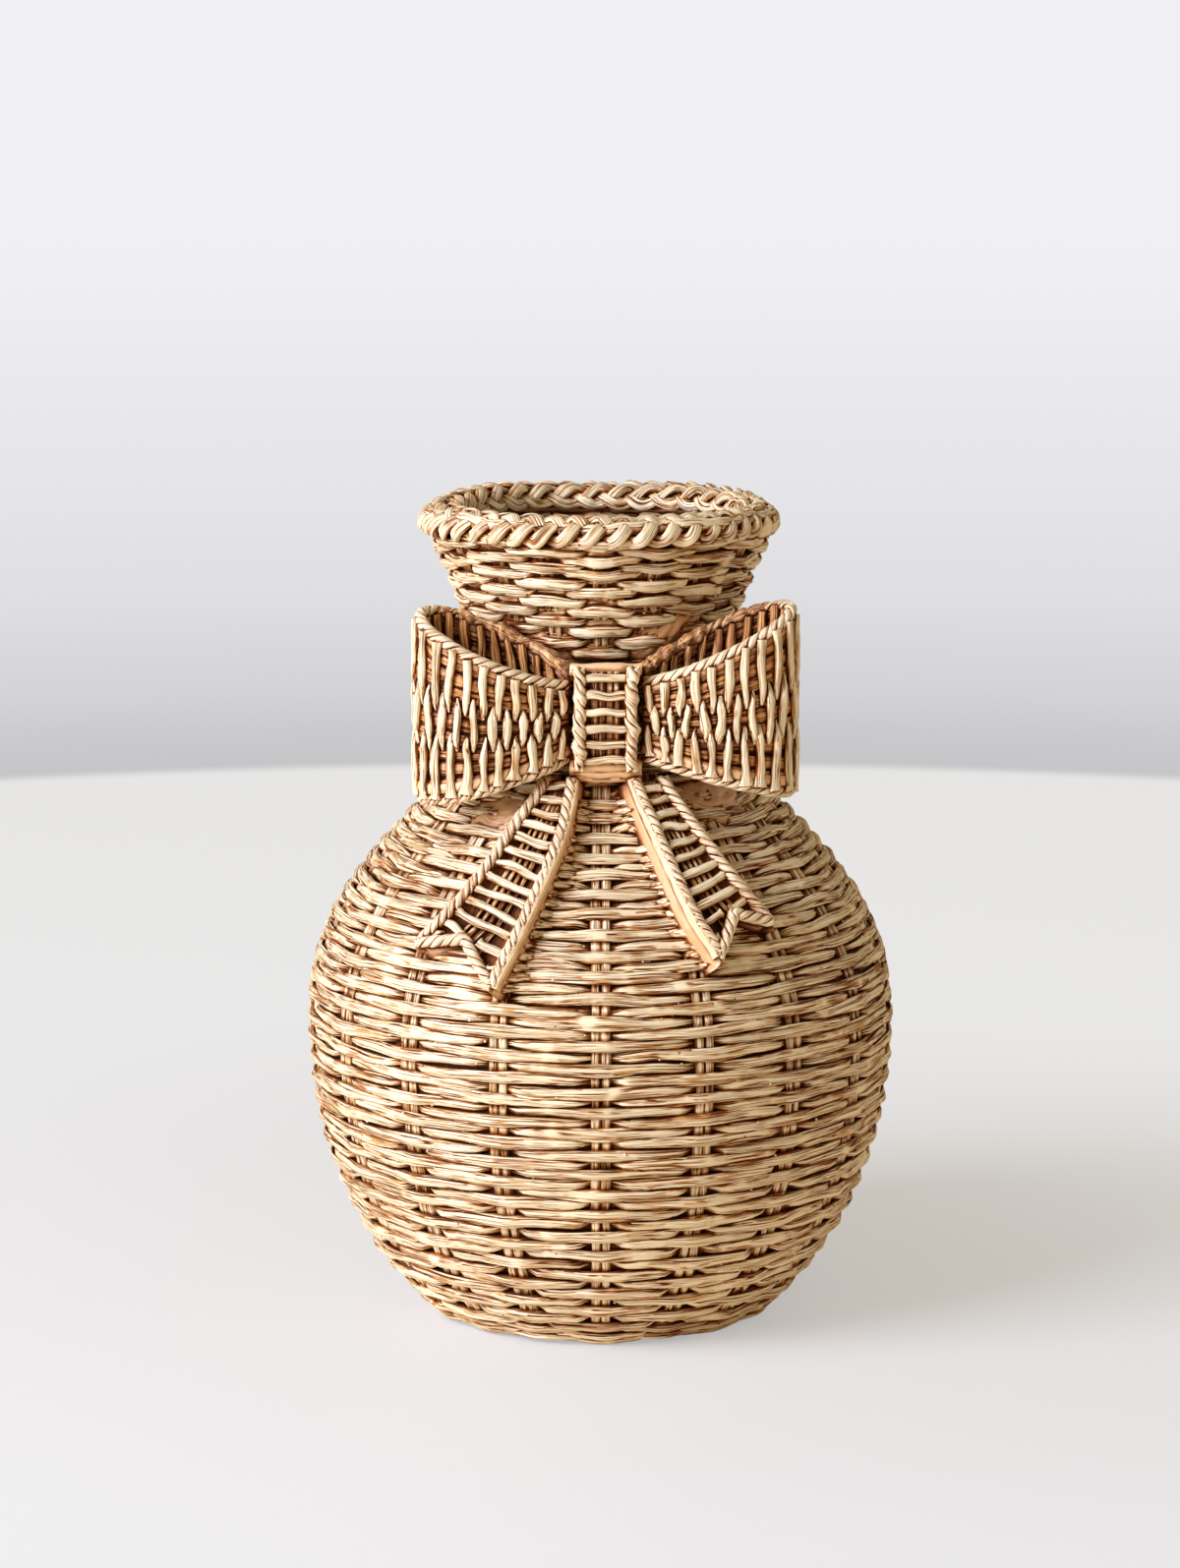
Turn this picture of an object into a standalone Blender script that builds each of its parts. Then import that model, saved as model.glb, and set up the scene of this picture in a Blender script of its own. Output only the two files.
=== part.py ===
"""A resin vase moulded as basket weave, with a bow on its neck, as separate named pieces.

Metres, +Z up. The origin is the middle of the felt's underside, on the vase's axis.
The bow faces -Y. Every angle round the vase is measured from -Y towards +X.
"""

import math

import bpy
import numpy as np

# Seats and clearances
GAP = 0.0003
SEAT_GAP = 0.0004

# The vase's outer crest, from the foot over the belly and the waist to the rim
FOOT_RADIUS = 0.0465
BELLY_RADIUS = 0.0843
WAIST_RADIUS = 0.0350
COLLAR_RADIUS = 0.0490
BELLY_HEIGHT = 0.0840
WAIST_HEIGHT = 0.1780
COLLAR_RISE = 0.0457
LOWER_ROUNDNESS_SHARE = 0.72
SHOULDER_SLOPE_SHARE = 1.3
COLLAR_FLARE_SHARE = 1.6
COLLAR_HEIGHT = WAIST_HEIGHT + COLLAR_RISE
PROFILE_SAMPLES = 600

# Woven skin: cane rows over and under pairs of stakes. Every second row rides over the front
# stake, at these shares of the way from the felt to the waist and from the waist to the rim.
STAKE_COUNT = 18
OVER_ROW_SHARES = (
    0.0152, 0.0360, 0.0708, 0.1051, 0.1404, 0.1787, 0.2146, 0.2522, 0.2876, 0.3225, 0.3528,
    0.3893, 0.4225, 0.4556, 0.4910, 0.5275, 0.5624, 0.5972, 0.6309, 0.6596, 0.6904, 0.7185,
    0.7455, 0.7708, 0.7933, 0.8191, 0.8461, 0.8674, 0.8994, 0.9292, 0.9573, 0.9848,
)
COLLAR_OVER_ROW_SHARES = (0.0656, 0.2013, 0.3479, 0.4814, 0.6083, 0.7221, 0.8381, 0.9300)
CANE_RELIEF = 0.0018
CANE_MIDDLE_SHARE = 0.25
ROW_GROOVE = 0.0010
SLOPE_STEP = 0.0008
SKIN_THICKNESS = 0.0034
SKIN_FOOT_HEIGHT = 0.0006
BACKING_RINGS = 11
COLLAR_WALL = 0.0066

# Pot behind the woven skin
POT_WALL = 0.0040
POT_FLOOR = 0.0040

# Base plate and felt
FELT_THICKNESS = 0.0010
FELT_RADIUS = 0.0420
PLATE_ABOVE_HEM = 0.0014
PLATE_INSET = 0.0002
PLATE_SIDES = 48

# Plaited rim
RIM_HEIGHT = 0.0110
RIM_WIDTH = 0.0106
RIM_INSET = 0.0012
RIM_RADIUS = COLLAR_RADIUS - RIM_INSET
RIM_PLAITS = 46
RIM_RELIEF = 0.0011
RIM_LAY = 0.0070
RIM_SIDES = 8

# Twisted ropes that edge the ribbon
ROPE_RADIUS = 0.0016
ROPE_FLATNESS_SHARE = 0.74
ROPE_STEP = 0.0034
ROPE_SIDES = 6
ROPE_LAY = 0.0104

# Knot in the middle of the bow
KNOT_SHIFT = 0.0013
KNOT_WIDTH = 0.0174
KNOT_BEFORE_LOOPS = 0.0071
KNOT_BELOW_WAIST = 0.0135
KNOT_ABOVE_WAIST = 0.0140
KNOT_BOTTOM = WAIST_HEIGHT - KNOT_BELOW_WAIST
KNOT_TOP = WAIST_HEIGHT + KNOT_ABOVE_WAIST
KNOT_RUNGS = 6
KNOT_RUNG_RELIEF = 0.0010
KNOT_BULGE = 0.0012

# Loops of the bow: one ribbon each, pinched at the knot and wide at its outer turn.
# Their heights are above the waist, or below it if negative.
LOOP_REACH = 0.0445
LOOP_DEPTH = 0.0230
LOOP_BEFORE_COLLAR = 0.0025
LOOP_SWEEP = 0.0039
LOOP_PINCH_SHARE = 0.6
LOOP_START_ANGLE = math.radians(24)
LOOP_CANES = 46
LOOP_RIBBON = 0.0022
LOOP_CANE_RELIEF = 0.0010
LOOP_TIERS = 3
LOOP_SHAPES = {
    "left": {
        "side": -1,
        "root_top": 0.0115,
        "turn_top": 0.0280,
        "top_tilt": 0.0042,
        "root_bottom": -0.0110,
        "turn_bottom": -0.0240,
        "bottom_tilt": 0.0025,
    },
    "right": {
        "side": 1,
        "root_top": 0.0120,
        "turn_top": 0.0298,
        "top_tilt": 0.0031,
        "root_bottom": -0.0115,
        "turn_bottom": -0.0210,
        "bottom_tilt": 0.0006,
    },
}

# Tails of the bow, which lie on the shoulder: how far both ends and the notch drop below the
# waist, and the angles round the vase down each edge
TAIL_START = 0.0202
TAIL_SHELF = 0.0030
TAIL_STEP = 0.0001
TAIL_RUNG_RISE = 0.0016
TAIL_RUNG_RELIEF = 0.0013
TAIL_RUNG_PITCH = 0.0040
TAIL_NOTCH_START_SHARE = 0.72
TAIL_SAMPLES = 60
TAIL_SHAPES = {
    "left": {
        "inner_end": 0.0725,
        "outer_end": 0.0630,
        "notch": 0.0600,
        "inner_angles": (-7.5, -9.0, -12.5, -16.0, -19.5),
        "outer_angles": (-20.5, -25.5, -29.0, -33.5, -39.0),
        "notch_angle": -27.5,
    },
    "right": {
        "inner_end": 0.0655,
        "outer_end": 0.0580,
        "notch": 0.0540,
        "inner_angles": (9.5, 13.0, 15.8, 18.6, 22.5),
        "outer_angles": (23.3, 27.0, 30.5, 34.0, 37.5),
        "notch_angle": 28.4,
    },
}

# Colours, as the paint shows on each piece
STRAW = (0.69, 0.50, 0.28)
PALE_STRAW = (0.76, 0.59, 0.36)
BARE_RESIN = (0.58, 0.42, 0.27)
FELT_GREY = (0.10, 0.09, 0.08)
PAINT_ROUGHNESS = 0.62
FELT_ROUGHNESS = 0.95

SHARP_ANGLE = math.radians(50)


def clear_scene():
    """Remove every object, mesh and material that the file opened with."""
    for obj in list(bpy.data.objects):
        bpy.data.objects.remove(obj, do_unlink=True)
    for block in (bpy.data.meshes, bpy.data.materials):
        for item in list(block):
            block.remove(item)


def make_material(name, colour, roughness):
    """A painted or felted surface of one colour."""
    material = bpy.data.materials.new(name)
    material.use_nodes = True
    shader = material.node_tree.nodes["Principled BSDF"]
    shader.inputs["Base Color"].default_value = (*colour, 1.0)
    shader.inputs["Roughness"].default_value = roughness
    shader.inputs["Metallic"].default_value = 0.0
    material.diffuse_color = (*colour, 1.0)
    return material


def make_empty(name, location, parent=None):
    """An unseen handle that the pieces hang on."""
    empty = bpy.data.objects.new(name, None)
    empty.location = location
    empty.parent = parent
    bpy.context.scene.collection.objects.link(empty)
    return empty


def cap_faces(start, sides, folded):
    """The face that ends a tube, or a row of them across a ring of two equal rows."""
    if not folded:
        return [tuple(start + side for side in range(sides))]
    last = start + sides - 1
    return [
        (start + side, start + side + 1, last - side - 1, last - side)
        for side in range(sides // 2 - 1)
    ]


def skin_rings(
    name, rings, parent, colour, roughness=PAINT_ROUGHNESS, closed=False, folded=False
):
    """One closed body from equal rings of points: a tube with caps, or a torus if closed.

    The ends of a folded tube follow its bends, because its ring is two rows, out and back.
    """
    rings = np.asarray(rings, float)
    count, sides = rings.shape[:2]
    origin = np.array(parent.matrix_world.translation)
    points = (rings - origin).reshape(-1, 3)
    faces = []
    for row in range(count if closed else count - 1):
        here, there = row * sides, (row + 1) % count * sides
        for side in range(sides):
            near = (side + 1) % sides
            faces.append((here + side, here + near, there + near, there + side))
    if not closed:
        faces += [face[::-1] for face in cap_faces(0, sides, folded)]
        faces += cap_faces((count - 1) * sides, sides, folded)
    mesh = bpy.data.meshes.new(name)
    mesh.from_pydata([tuple(point) for point in points], [], faces)
    if signed_volume(mesh) < 0:
        mesh.flip_normals()
    mesh.materials.append(make_material(name + "_finish", colour, roughness))
    mesh.shade_smooth()
    mesh.set_sharp_from_angle(angle=SHARP_ANGLE)
    obj = bpy.data.objects.new(name, mesh)
    obj.parent = parent
    bpy.context.scene.collection.objects.link(obj)
    return obj


def signed_volume(mesh):
    """Six times the volume inside the faces, below zero when they point inwards."""
    mesh.calc_loop_triangles()
    corners = [[mesh.vertices[i].co for i in tri.vertices] for tri in mesh.loop_triangles]
    return sum(a.dot(b.cross(c)) for a, b, c in corners)


def crest_radius(height):
    """Radius of the woven skin's crests at a height."""
    lower = np.clip(height / BELLY_HEIGHT, 0, 1)
    upper = np.clip((height - BELLY_HEIGHT) / (WAIST_HEIGHT - BELLY_HEIGHT), 0, 1)
    flare = np.clip((height - WAIST_HEIGHT) / (COLLAR_HEIGHT - WAIST_HEIGHT), 0, None)
    rise = (1 - (1 - lower) ** 2) ** LOWER_ROUNDNESS_SHARE
    draw_in = (1 - np.cos(math.pi * upper**SHOULDER_SLOPE_SHARE)) / 2
    return (
        FOOT_RADIUS
        + (BELLY_RADIUS - FOOT_RADIUS) * rise
        - (BELLY_RADIUS - WAIST_RADIUS) * draw_in
        + (COLLAR_RADIUS - WAIST_RADIUS) * flare**COLLAR_FLARE_SHARE
    )


def crest_curve(low, high):
    """Points down the crest from low to high: radius, height, and arc length so far."""
    height = low + (high - low) * np.linspace(0, 1, PROFILE_SAMPLES) ** 2
    radius = crest_radius(height)
    steps = np.hypot(np.diff(radius), np.diff(height))
    return radius, height, np.concatenate([[0], np.cumsum(steps)])


def inward_curve(low, high, depth):
    """The crest curve moved inwards along its normal by a depth, as radius and height."""
    radius, height, arc = crest_curve(low, high)
    along_radius, along_height = np.gradient(radius, arc), np.gradient(height, arc)
    return radius - depth * along_height, height + depth * along_radius


def woven_rows(over_heights, top):
    """Heights of all cane rows: those over the front stake, those between them, and the top."""
    over = np.asarray(over_heights, float)
    rows = np.full(2 * len(over), float(top))
    rows[0::2] = over
    rows[1:-1:2] = (over[:-1] + over[1:]) / 2
    return rows


def round_vase(angle, radius, height):
    """A point at an angle round the vase, from -Y towards +X."""
    return (radius * math.sin(angle), -radius * math.cos(angle), height)


def woven_offset(row, column):
    """How far a cane row lies under the crest: it rides over one stake and under the next."""
    if column % 2:
        return CANE_RELIEF * CANE_MIDDLE_SHARE
    return CANE_RELIEF if (row + column // 2) % 2 else 0


def row_offsets(row):
    """How far each point of a cane row lies under the crest."""
    return [woven_offset(row, column) for column in range(2 * STAKE_COUNT)]


def woven_face(rows, first_row):
    """Rings over the cane rows and in the grooves between them: heights and depths."""
    rings = [(rows[0], row_offsets(first_row))]
    for step in range(1, len(rows)):
        above = row_offsets(first_row + step)
        groove = [(low + high) / 2 + ROW_GROOVE for low, high in zip(rings[-1][1], above)]
        rings.append(((rows[step - 1] + rows[step]) / 2, groove))
        rings.append((rows[step], above))
    return rings


def woven_ring(radius, offsets, height):
    """A ring whose points stand at offsets from a radius."""
    turn = math.pi / STAKE_COUNT
    return [
        round_vase(column * turn, radius + offset, height)
        for column, offset in enumerate(offsets)
    ]


def lathe_ring(radii, heights, sides):
    """Rings round the axis from matching radii and heights."""
    turn = 2 * math.pi / sides
    return [
        [round_vase(side * turn, radius, height) for side in range(sides)]
        for radius, height in zip(radii, heights)
    ]


def make_belly_weave(parent):
    """The woven skin from the foot to the waist, with a ring on each cane row and groove."""
    over = [SKIN_FOOT_HEIGHT, *(share * WAIST_HEIGHT for share in OVER_ROW_SHARES)]
    rings = [
        woven_ring(float(crest_radius(height)), [-offset for offset in offsets], height)
        for height, offsets in woven_face(woven_rows(over, WAIST_HEIGHT), 0)
    ]
    backs = np.append(backing_heights(), hem_height())
    rings += lathe_ring(backed_radius(backs, SKIN_THICKNESS), backs, 2 * STAKE_COUNT)
    return skin_rings("belly_weave", rings, parent, STRAW, closed=True)


def backing_heights():
    """Heights of the rings on both faces where the pot backs the woven skin, top first."""
    return np.linspace(WAIST_HEIGHT, plate_top() + GAP, BACKING_RINGS)


def backed_radius(heights, depth):
    """Radius at each height of a face that lies a depth behind the crest."""
    radius, height = inward_curve(SKIN_FOOT_HEIGHT, WAIST_HEIGHT, depth)
    return np.interp(heights, height, radius)


def make_inner_pot(parent):
    """The smooth pot that backs the woven skin, with a floor and an open top."""
    sides = 2 * STAKE_COUNT
    outer_heights = backing_heights()[::-1]
    inner_heights = np.linspace(WAIST_HEIGHT, outer_heights[0] + POT_FLOOR, BACKING_RINGS)
    outer = backed_radius(outer_heights, SKIN_THICKNESS + GAP)
    inner = backed_radius(inner_heights, SKIN_THICKNESS + GAP + POT_WALL)
    rings = lathe_ring(outer, outer_heights, sides)
    rings += lathe_ring(inner, inner_heights, sides)
    return skin_rings("inner_pot", rings, parent, BARE_RESIN)


def hem_height():
    """Height of the woven skin's lowest point on its back."""
    return inward_curve(SKIN_FOOT_HEIGHT, WAIST_HEIGHT, SKIN_THICKNESS)[1][0]


def plate_top():
    """Height of the base plate's upper face, which stands through the skin's hem."""
    return hem_height() + PLATE_ABOVE_HEM


def make_disc(name, parent, radius, low, high, colour, roughness):
    """A flat round plate."""
    rings = lathe_ring((radius, radius), (low, high), PLATE_SIDES)
    return skin_rings(name, rings, parent, colour, roughness)


def make_collar_weave(parent):
    """The flared neck, woven outside and inside, from the waist to under the rim."""
    over = [WAIST_HEIGHT + share * COLLAR_RISE for share in COLLAR_OVER_ROW_SHARES]
    rows = [WAIST_HEIGHT + GAP, *woven_rows(over, COLLAR_HEIGHT)]
    rings = [
        woven_ring(float(crest_radius(height)), [-offset for offset in offsets], height)
        for height, offsets in woven_face(rows, 1)
    ]
    for row, height in reversed(list(enumerate(rows, 1))):
        bore = float(crest_radius(height)) - COLLAR_WALL
        rings.append(woven_ring(bore, row_offsets(row), height))
    return skin_rings("collar_weave", rings, parent, STRAW, closed=True)


def make_rim_braid(parent):
    """The plaited rim: a fat ring whose ridges run in chevrons round it."""
    columns = 2 * RIM_PLAITS
    turn = 2 * math.pi / columns
    middle = COLLAR_HEIGHT + GAP + RIM_HEIGHT / 2
    rings = []
    for column in range(columns):
        ring = []
        for side in range(RIM_SIDES):
            around = 2 * math.pi * side / RIM_SIDES - math.pi / 2
            ridge = RIM_RELIEF if column % 2 and side else 0
            apex = max(0, math.cos(around - math.pi / 4))
            angle = column * turn + RIM_LAY / RIM_RADIUS * apex
            wide = RIM_WIDTH / 2 - ridge
            tall = RIM_HEIGHT / 2 - ridge
            radius = RIM_RADIUS + wide * math.cos(around)
            ring.append(round_vase(angle, radius, middle + tall * math.sin(around)))
        rings.append(ring)
    return skin_rings("rim_braid", rings, parent, PALE_STRAW, closed=True)


def unit(vector):
    """The vector at length one."""
    return vector / np.linalg.norm(vector)


def resample(points, step):
    """The same route with points an even step apart."""
    points = np.asarray(points, float)
    lengths = np.linalg.norm(np.diff(points, axis=0), axis=1)
    arc = np.concatenate([[0], np.cumsum(lengths)])
    count = max(int(round(arc[-1] / step)), 2)
    even = np.linspace(0, arc[-1], count + 1)
    return np.stack([np.interp(even, arc, points[:, axis]) for axis in range(3)], axis=1)


def make_rope(name, parent, route, up):
    """A two-strand rope: an oval section that turns steadily along the route."""
    points = resample(route, ROPE_STEP)
    along = np.gradient(points, axis=0)
    rings = []
    for index, (point, direction) in enumerate(zip(points, along)):
        forward = unit(direction)
        aside = unit(np.cross(forward, up(point)))
        over = np.cross(aside, forward)
        roll = 2 * math.pi * index * ROPE_STEP / ROPE_LAY
        ring = []
        for side in range(ROPE_SIDES):
            around = 2 * math.pi * side / ROPE_SIDES
            wide = ROPE_RADIUS * math.cos(around)
            thin = ROPE_RADIUS * ROPE_FLATNESS_SHARE * math.sin(around)
            x = wide * math.cos(roll) - thin * math.sin(roll)
            y = wide * math.sin(roll) + thin * math.cos(roll)
            ring.append(point + aside * x + over * y)
        rings.append(ring)
    return skin_rings(name, rings, parent, PALE_STRAW)


def straight_up(_point):
    """The direction that a loop's or the knot's ropes keep as up."""
    return np.array((0, 0, 1.0))


def straight_ahead(_point):
    """The direction that an upright rope keeps as its front."""
    return np.array((0, -1.0, 0))


def away_from_axis(point):
    """The direction out from the vase's axis."""
    return unit(np.array((point[0], point[1], 0)))


def loop_back():
    """Distance of the loops' roots in front of the axis: they clear the collar's flare."""
    highest = max(shape["turn_top"] for shape in LOOP_SHAPES.values())
    return float(crest_radius(WAIST_HEIGHT + highest)) + LOOP_BEFORE_COLLAR


def knot_front():
    """Distance of the knot's ropes in front of the axis."""
    return loop_back() + KNOT_BEFORE_LOOPS


def make_knot(parent):
    """The knot's body, which fits the neck behind it, and the ropes down its two edges."""
    half = KNOT_WIDTH / 2
    front = knot_front()
    shelf = front - 2 * ROPE_RADIUS - GAP
    ladder = half - 2 * ROPE_RADIUS - GAP
    steps = 2 * KNOT_RUNGS
    rings = []
    for step in range(steps + 1):
        height = KNOT_BOTTOM + (KNOT_TOP - KNOT_BOTTOM) * step / steps
        seat = float(crest_radius(height)) + SEAT_GAP
        swell = KNOT_BULGE * math.sin(math.pi * step / steps)
        rung = front - ROPE_RADIUS + swell - (0 if step % 2 else KNOT_RUNG_RELIEF)
        ring = [
            (across, -math.sqrt(seat**2 - across**2), height)
            for across in (KNOT_SHIFT - half, KNOT_SHIFT, KNOT_SHIFT + half)
        ]
        ring += [
            (KNOT_SHIFT + half, -shelf - swell, height),
            (KNOT_SHIFT + ladder, -shelf - swell, height),
            (KNOT_SHIFT + ladder, -rung, height),
            (KNOT_SHIFT - ladder, -rung, height),
            (KNOT_SHIFT - ladder, -shelf - swell, height),
            (KNOT_SHIFT - half, -shelf - swell, height),
        ]
        rings.append(ring)
    skin_rings("knot_band", rings, parent, STRAW)
    for name, side in (("knot_rope_left", -1), ("knot_rope_right", 1)):
        across = KNOT_SHIFT + side * (half - ROPE_RADIUS)
        route = [
            (
                across,
                -front + ROPE_RADIUS - KNOT_BULGE * math.sin(math.pi * share),
                KNOT_BOTTOM + (KNOT_TOP - KNOT_BOTTOM) * share,
            )
            for share in np.linspace(0, 1, 2 * KNOT_RUNGS)
        ]
        make_rope(name, parent, route, straight_ahead)


def loop_plan(shape, turn):
    """Where the middle of a loop's ribbon lies, seen from above, at an angle of its turn."""
    share = (1 - math.cos(turn)) / 2
    root = KNOT_WIDTH / 2 + GAP + ROPE_RADIUS
    reach = LOOP_REACH - GAP - 2 * ROPE_RADIUS
    start = (1 - math.cos(LOOP_START_ANGLE)) / 2
    across = KNOT_SHIFT + shape["side"] * (root + reach * (share - start) / (1 - start))
    bow = LOOP_DEPTH / 2 * math.sin(turn) * abs(math.sin(turn / 2)) ** LOOP_PINCH_SHARE
    ahead = loop_back() - LOOP_SWEEP * share - bow
    neck = max(float(crest_radius(height)) for height in loop_heights(shape, turn))
    clear = neck + SEAT_GAP + ROPE_RADIUS
    seat = math.sqrt(max(clear**2 - across**2, 0))
    return np.array((across, -max(ahead, seat), 0))


def loop_heights(shape, turn):
    """Lower and upper edge of a loop's ribbon, ropes included, at an angle of its turn."""
    share = (1 - math.cos(turn)) / 2
    low = shape["root_bottom"] + (shape["turn_bottom"] - shape["root_bottom"]) * share
    high = shape["root_top"] + (shape["turn_top"] - shape["root_top"]) * share
    lean = math.sin(turn)
    return (
        WAIST_HEIGHT + low + shape["bottom_tilt"] * lean,
        WAIST_HEIGHT + high + shape["top_tilt"] * lean,
    )


def loop_normal(shape, turn):
    """Outward direction of a loop's ribbon, seen from above."""
    small = LOOP_START_ANGLE / 100
    along = loop_plan(shape, turn + small) - loop_plan(shape, turn - small)
    outward = np.array((along[1], -along[0], 0)) * -shape["side"]
    return unit(outward)


def make_loop(name, parent, shape):
    """One loop of the bow: its woven ribbon, and the ropes along both edges."""
    turns = np.linspace(LOOP_START_ANGLE, 2 * math.pi - LOOP_START_ANGLE, LOOP_CANES)
    levels = 2 * LOOP_TIERS + 1
    rings = []
    edges = {"bottom": [], "top": []}
    for cane, turn in enumerate(turns):
        middle, outward = loop_plan(shape, turn), loop_normal(shape, turn)
        low, high = loop_heights(shape, turn)
        edges["bottom"].append(middle + (0, 0, low + ROPE_RADIUS))
        edges["top"].append(middle + (0, 0, high - ROPE_RADIUS))
        low += 2 * ROPE_RADIUS + GAP
        high -= 2 * ROPE_RADIUS + GAP
        ring = []
        for level in range(levels):
            height = low + (high - low) * level / (levels - 1)
            over = level % 2 and (level // 2 + cane) % 2 == 0
            proud = LOOP_RIBBON / 2 + (LOOP_CANE_RELIEF if over else 0)
            ring.append(middle + outward * proud + (0, 0, height))
        for height in (high, (low + high) / 2, low):
            ring.append(middle - outward * LOOP_RIBBON / 2 + (0, 0, height))
        rings.append(ring)
    skin_rings(f"{name}_loop_ribbon", rings, parent, STRAW)
    for edge, route in edges.items():
        make_rope(f"{name}_loop_rope_{edge}", parent, route, straight_up)


def smooth_through(values, share):
    """A smooth value through evenly spaced ones, at a share of the way."""
    values = np.asarray(values, float)
    place = share * (len(values) - 1)
    index = int(min(max(math.floor(place), 0), len(values) - 2))
    part = place - index
    before = values[max(index - 1, 0)]
    start, end = values[index], values[index + 1]
    after = values[min(index + 2, len(values) - 1)]
    slope, next_slope = (end - before) / 2, (after - start) / 2
    curve = (2 * start - 2 * end + slope + next_slope) * part**3
    curve += (3 * end - 3 * start - 2 * slope - next_slope) * part**2
    return curve + slope * part + start


def on_shoulder(angle_degrees, height, proud):
    """A point that stands proud of the woven skin, square to it."""
    small = SLOPE_STEP
    slope = float(crest_radius(height + small) - crest_radius(height - small)) / (2 * small)
    square = math.hypot(1, slope)
    radius = float(crest_radius(height)) + proud / square
    return np.array(
        round_vase(math.radians(angle_degrees), radius, height - proud * slope / square)
    )


def tail_point(shape, down, across, proud):
    """A point on a tail: down it from the knot, and across it from the inner to the outer edge."""
    inner = smooth_through(shape["inner_angles"], down)
    outer = smooth_through(shape["outer_angles"], down)
    end = shape["inner_end"] + (shape["outer_end"] - shape["inner_end"]) * across
    angle = inner + (outer - inner) * across
    drop = TAIL_START + (end - TAIL_START) * down
    cut = max(0, (down - TAIL_NOTCH_START_SHARE) / (1 - TAIL_NOTCH_START_SHARE))
    inward = 1 - abs(2 * across - 1)
    ends = (shape["inner_end"] + shape["outer_end"]) / 2
    drop += (shape["notch"] - ends) * cut * inward
    middle = (shape["inner_angles"][-1] + shape["outer_angles"][-1]) / 2
    angle += (shape["notch_angle"] - middle) * cut * inward
    return on_shoulder(angle, WAIST_HEIGHT - drop, proud)


def tail_edge(shape, down, distance, proud):
    """A point at a distance in from a tail's inner edge, or from its outer one if negative."""
    inner, outer = tail_point(shape, down, 0, 0), tail_point(shape, down, 1, 0)
    share = abs(distance) / np.linalg.norm(outer - inner)
    return tail_point(shape, down, share if distance > 0 else 1 - share, proud)


def route_length(points):
    """Length of a route."""
    return float(np.linalg.norm(np.diff(points, axis=0), axis=1).sum())


def tail_ring(shape, down, rung):
    """A tail's section: its top from the inner edge to the outer one, then its seat back."""
    lane = 2 * ROPE_RADIUS + GAP
    middle = tail_point(shape, down, 0.5, rung)
    top = [tail_point(shape, down, 0, TAIL_SHELF), tail_edge(shape, down, lane, TAIL_SHELF)]
    top += [tail_edge(shape, down, lane, rung), middle, tail_edge(shape, down, -lane, rung)]
    top += [tail_edge(shape, down, -lane, TAIL_SHELF), tail_point(shape, down, 1, TAIL_SHELF)]
    count = len(top)
    seat = [
        tail_point(shape, down, 1 - place / (count - 1), SEAT_GAP) for place in range(count)
    ]
    return top + seat


def make_tail(name, parent, shape):
    """One tail of the bow: a ribbon with rungs, edge ropes, and a rope round its notched end."""
    shares = np.linspace(0, 1, TAIL_SAMPLES)
    edge = [tail_point(shape, share, 0, TAIL_SHELF) for share in shares]
    length = route_length(edge)
    steps = 2 * int(round(length / TAIL_RUNG_PITCH))
    hem = 1 - (2 * ROPE_RADIUS + GAP) / length
    downs = [0, *np.linspace(TAIL_RUNG_PITCH / 4 / length, hem, steps), 1]
    rings = []
    for step, down in enumerate(downs):
        rung = TAIL_SHELF + TAIL_RUNG_RISE - (TAIL_RUNG_RELIEF if step % 2 else 0)
        if step in (0, steps, steps + 1):
            rung = TAIL_SHELF + TAIL_STEP
        rings.append(tail_ring(shape, down, rung))
    skin_rings(f"{name}_tail_ribbon", rings, parent, STRAW, folded=True)
    rope_height = TAIL_SHELF + TAIL_STEP + GAP + ROPE_RADIUS
    last = 1 - ROPE_RADIUS / length
    for edge_name, distance in (("inner", ROPE_RADIUS), ("outer", -ROPE_RADIUS)):
        route = [tail_edge(shape, share * last, distance, rope_height) for share in shares]
        make_rope(f"{name}_tail_rope_{edge_name}", parent, route, away_from_axis)
    inner = tail_point(shape, last, 0, rope_height)
    outer = tail_point(shape, last, 1, rope_height)
    clear = (3 * ROPE_RADIUS + GAP) / float(np.linalg.norm(outer - inner))
    route = [
        tail_point(shape, last, clear + (1 - 2 * clear) * share, rope_height)
        for share in shares
    ]
    make_rope(f"{name}_tail_rope_end", parent, route, away_from_axis)


def main():
    """Build every piece of the vase."""
    clear_scene()
    vase = make_empty("vase", (0, 0, 0))
    bow = make_empty("bow", (KNOT_SHIFT, -knot_front(), (KNOT_BOTTOM + KNOT_TOP) / 2), vase)
    bpy.context.view_layer.update()
    make_disc("felt_pad", vase, FELT_RADIUS, 0, FELT_THICKNESS, FELT_GREY, FELT_ROUGHNESS)
    make_disc(
        "base_plate",
        vase,
        FOOT_RADIUS - PLATE_INSET,
        FELT_THICKNESS + GAP,
        plate_top(),
        BARE_RESIN,
        PAINT_ROUGHNESS,
    )
    make_inner_pot(vase)
    make_belly_weave(vase)
    make_collar_weave(vase)
    make_rim_braid(vase)
    make_knot(bow)
    for name, shape in LOOP_SHAPES.items():
        make_loop(name, bow, shape)
    for name, shape in TAIL_SHAPES.items():
        make_tail(name, bow, shape)


main()
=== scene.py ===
"""The looks of a resin vase moulded as basket weave, with a bow on its neck.

Metres, +Z up. The bow faces -Y. Every angle round the vase is measured from -Y towards +X.
"""

import logging
import math
from dataclasses import asdict, dataclass, field
from enum import Enum
from functools import reduce
from typing import Iterable, Sequence

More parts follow.
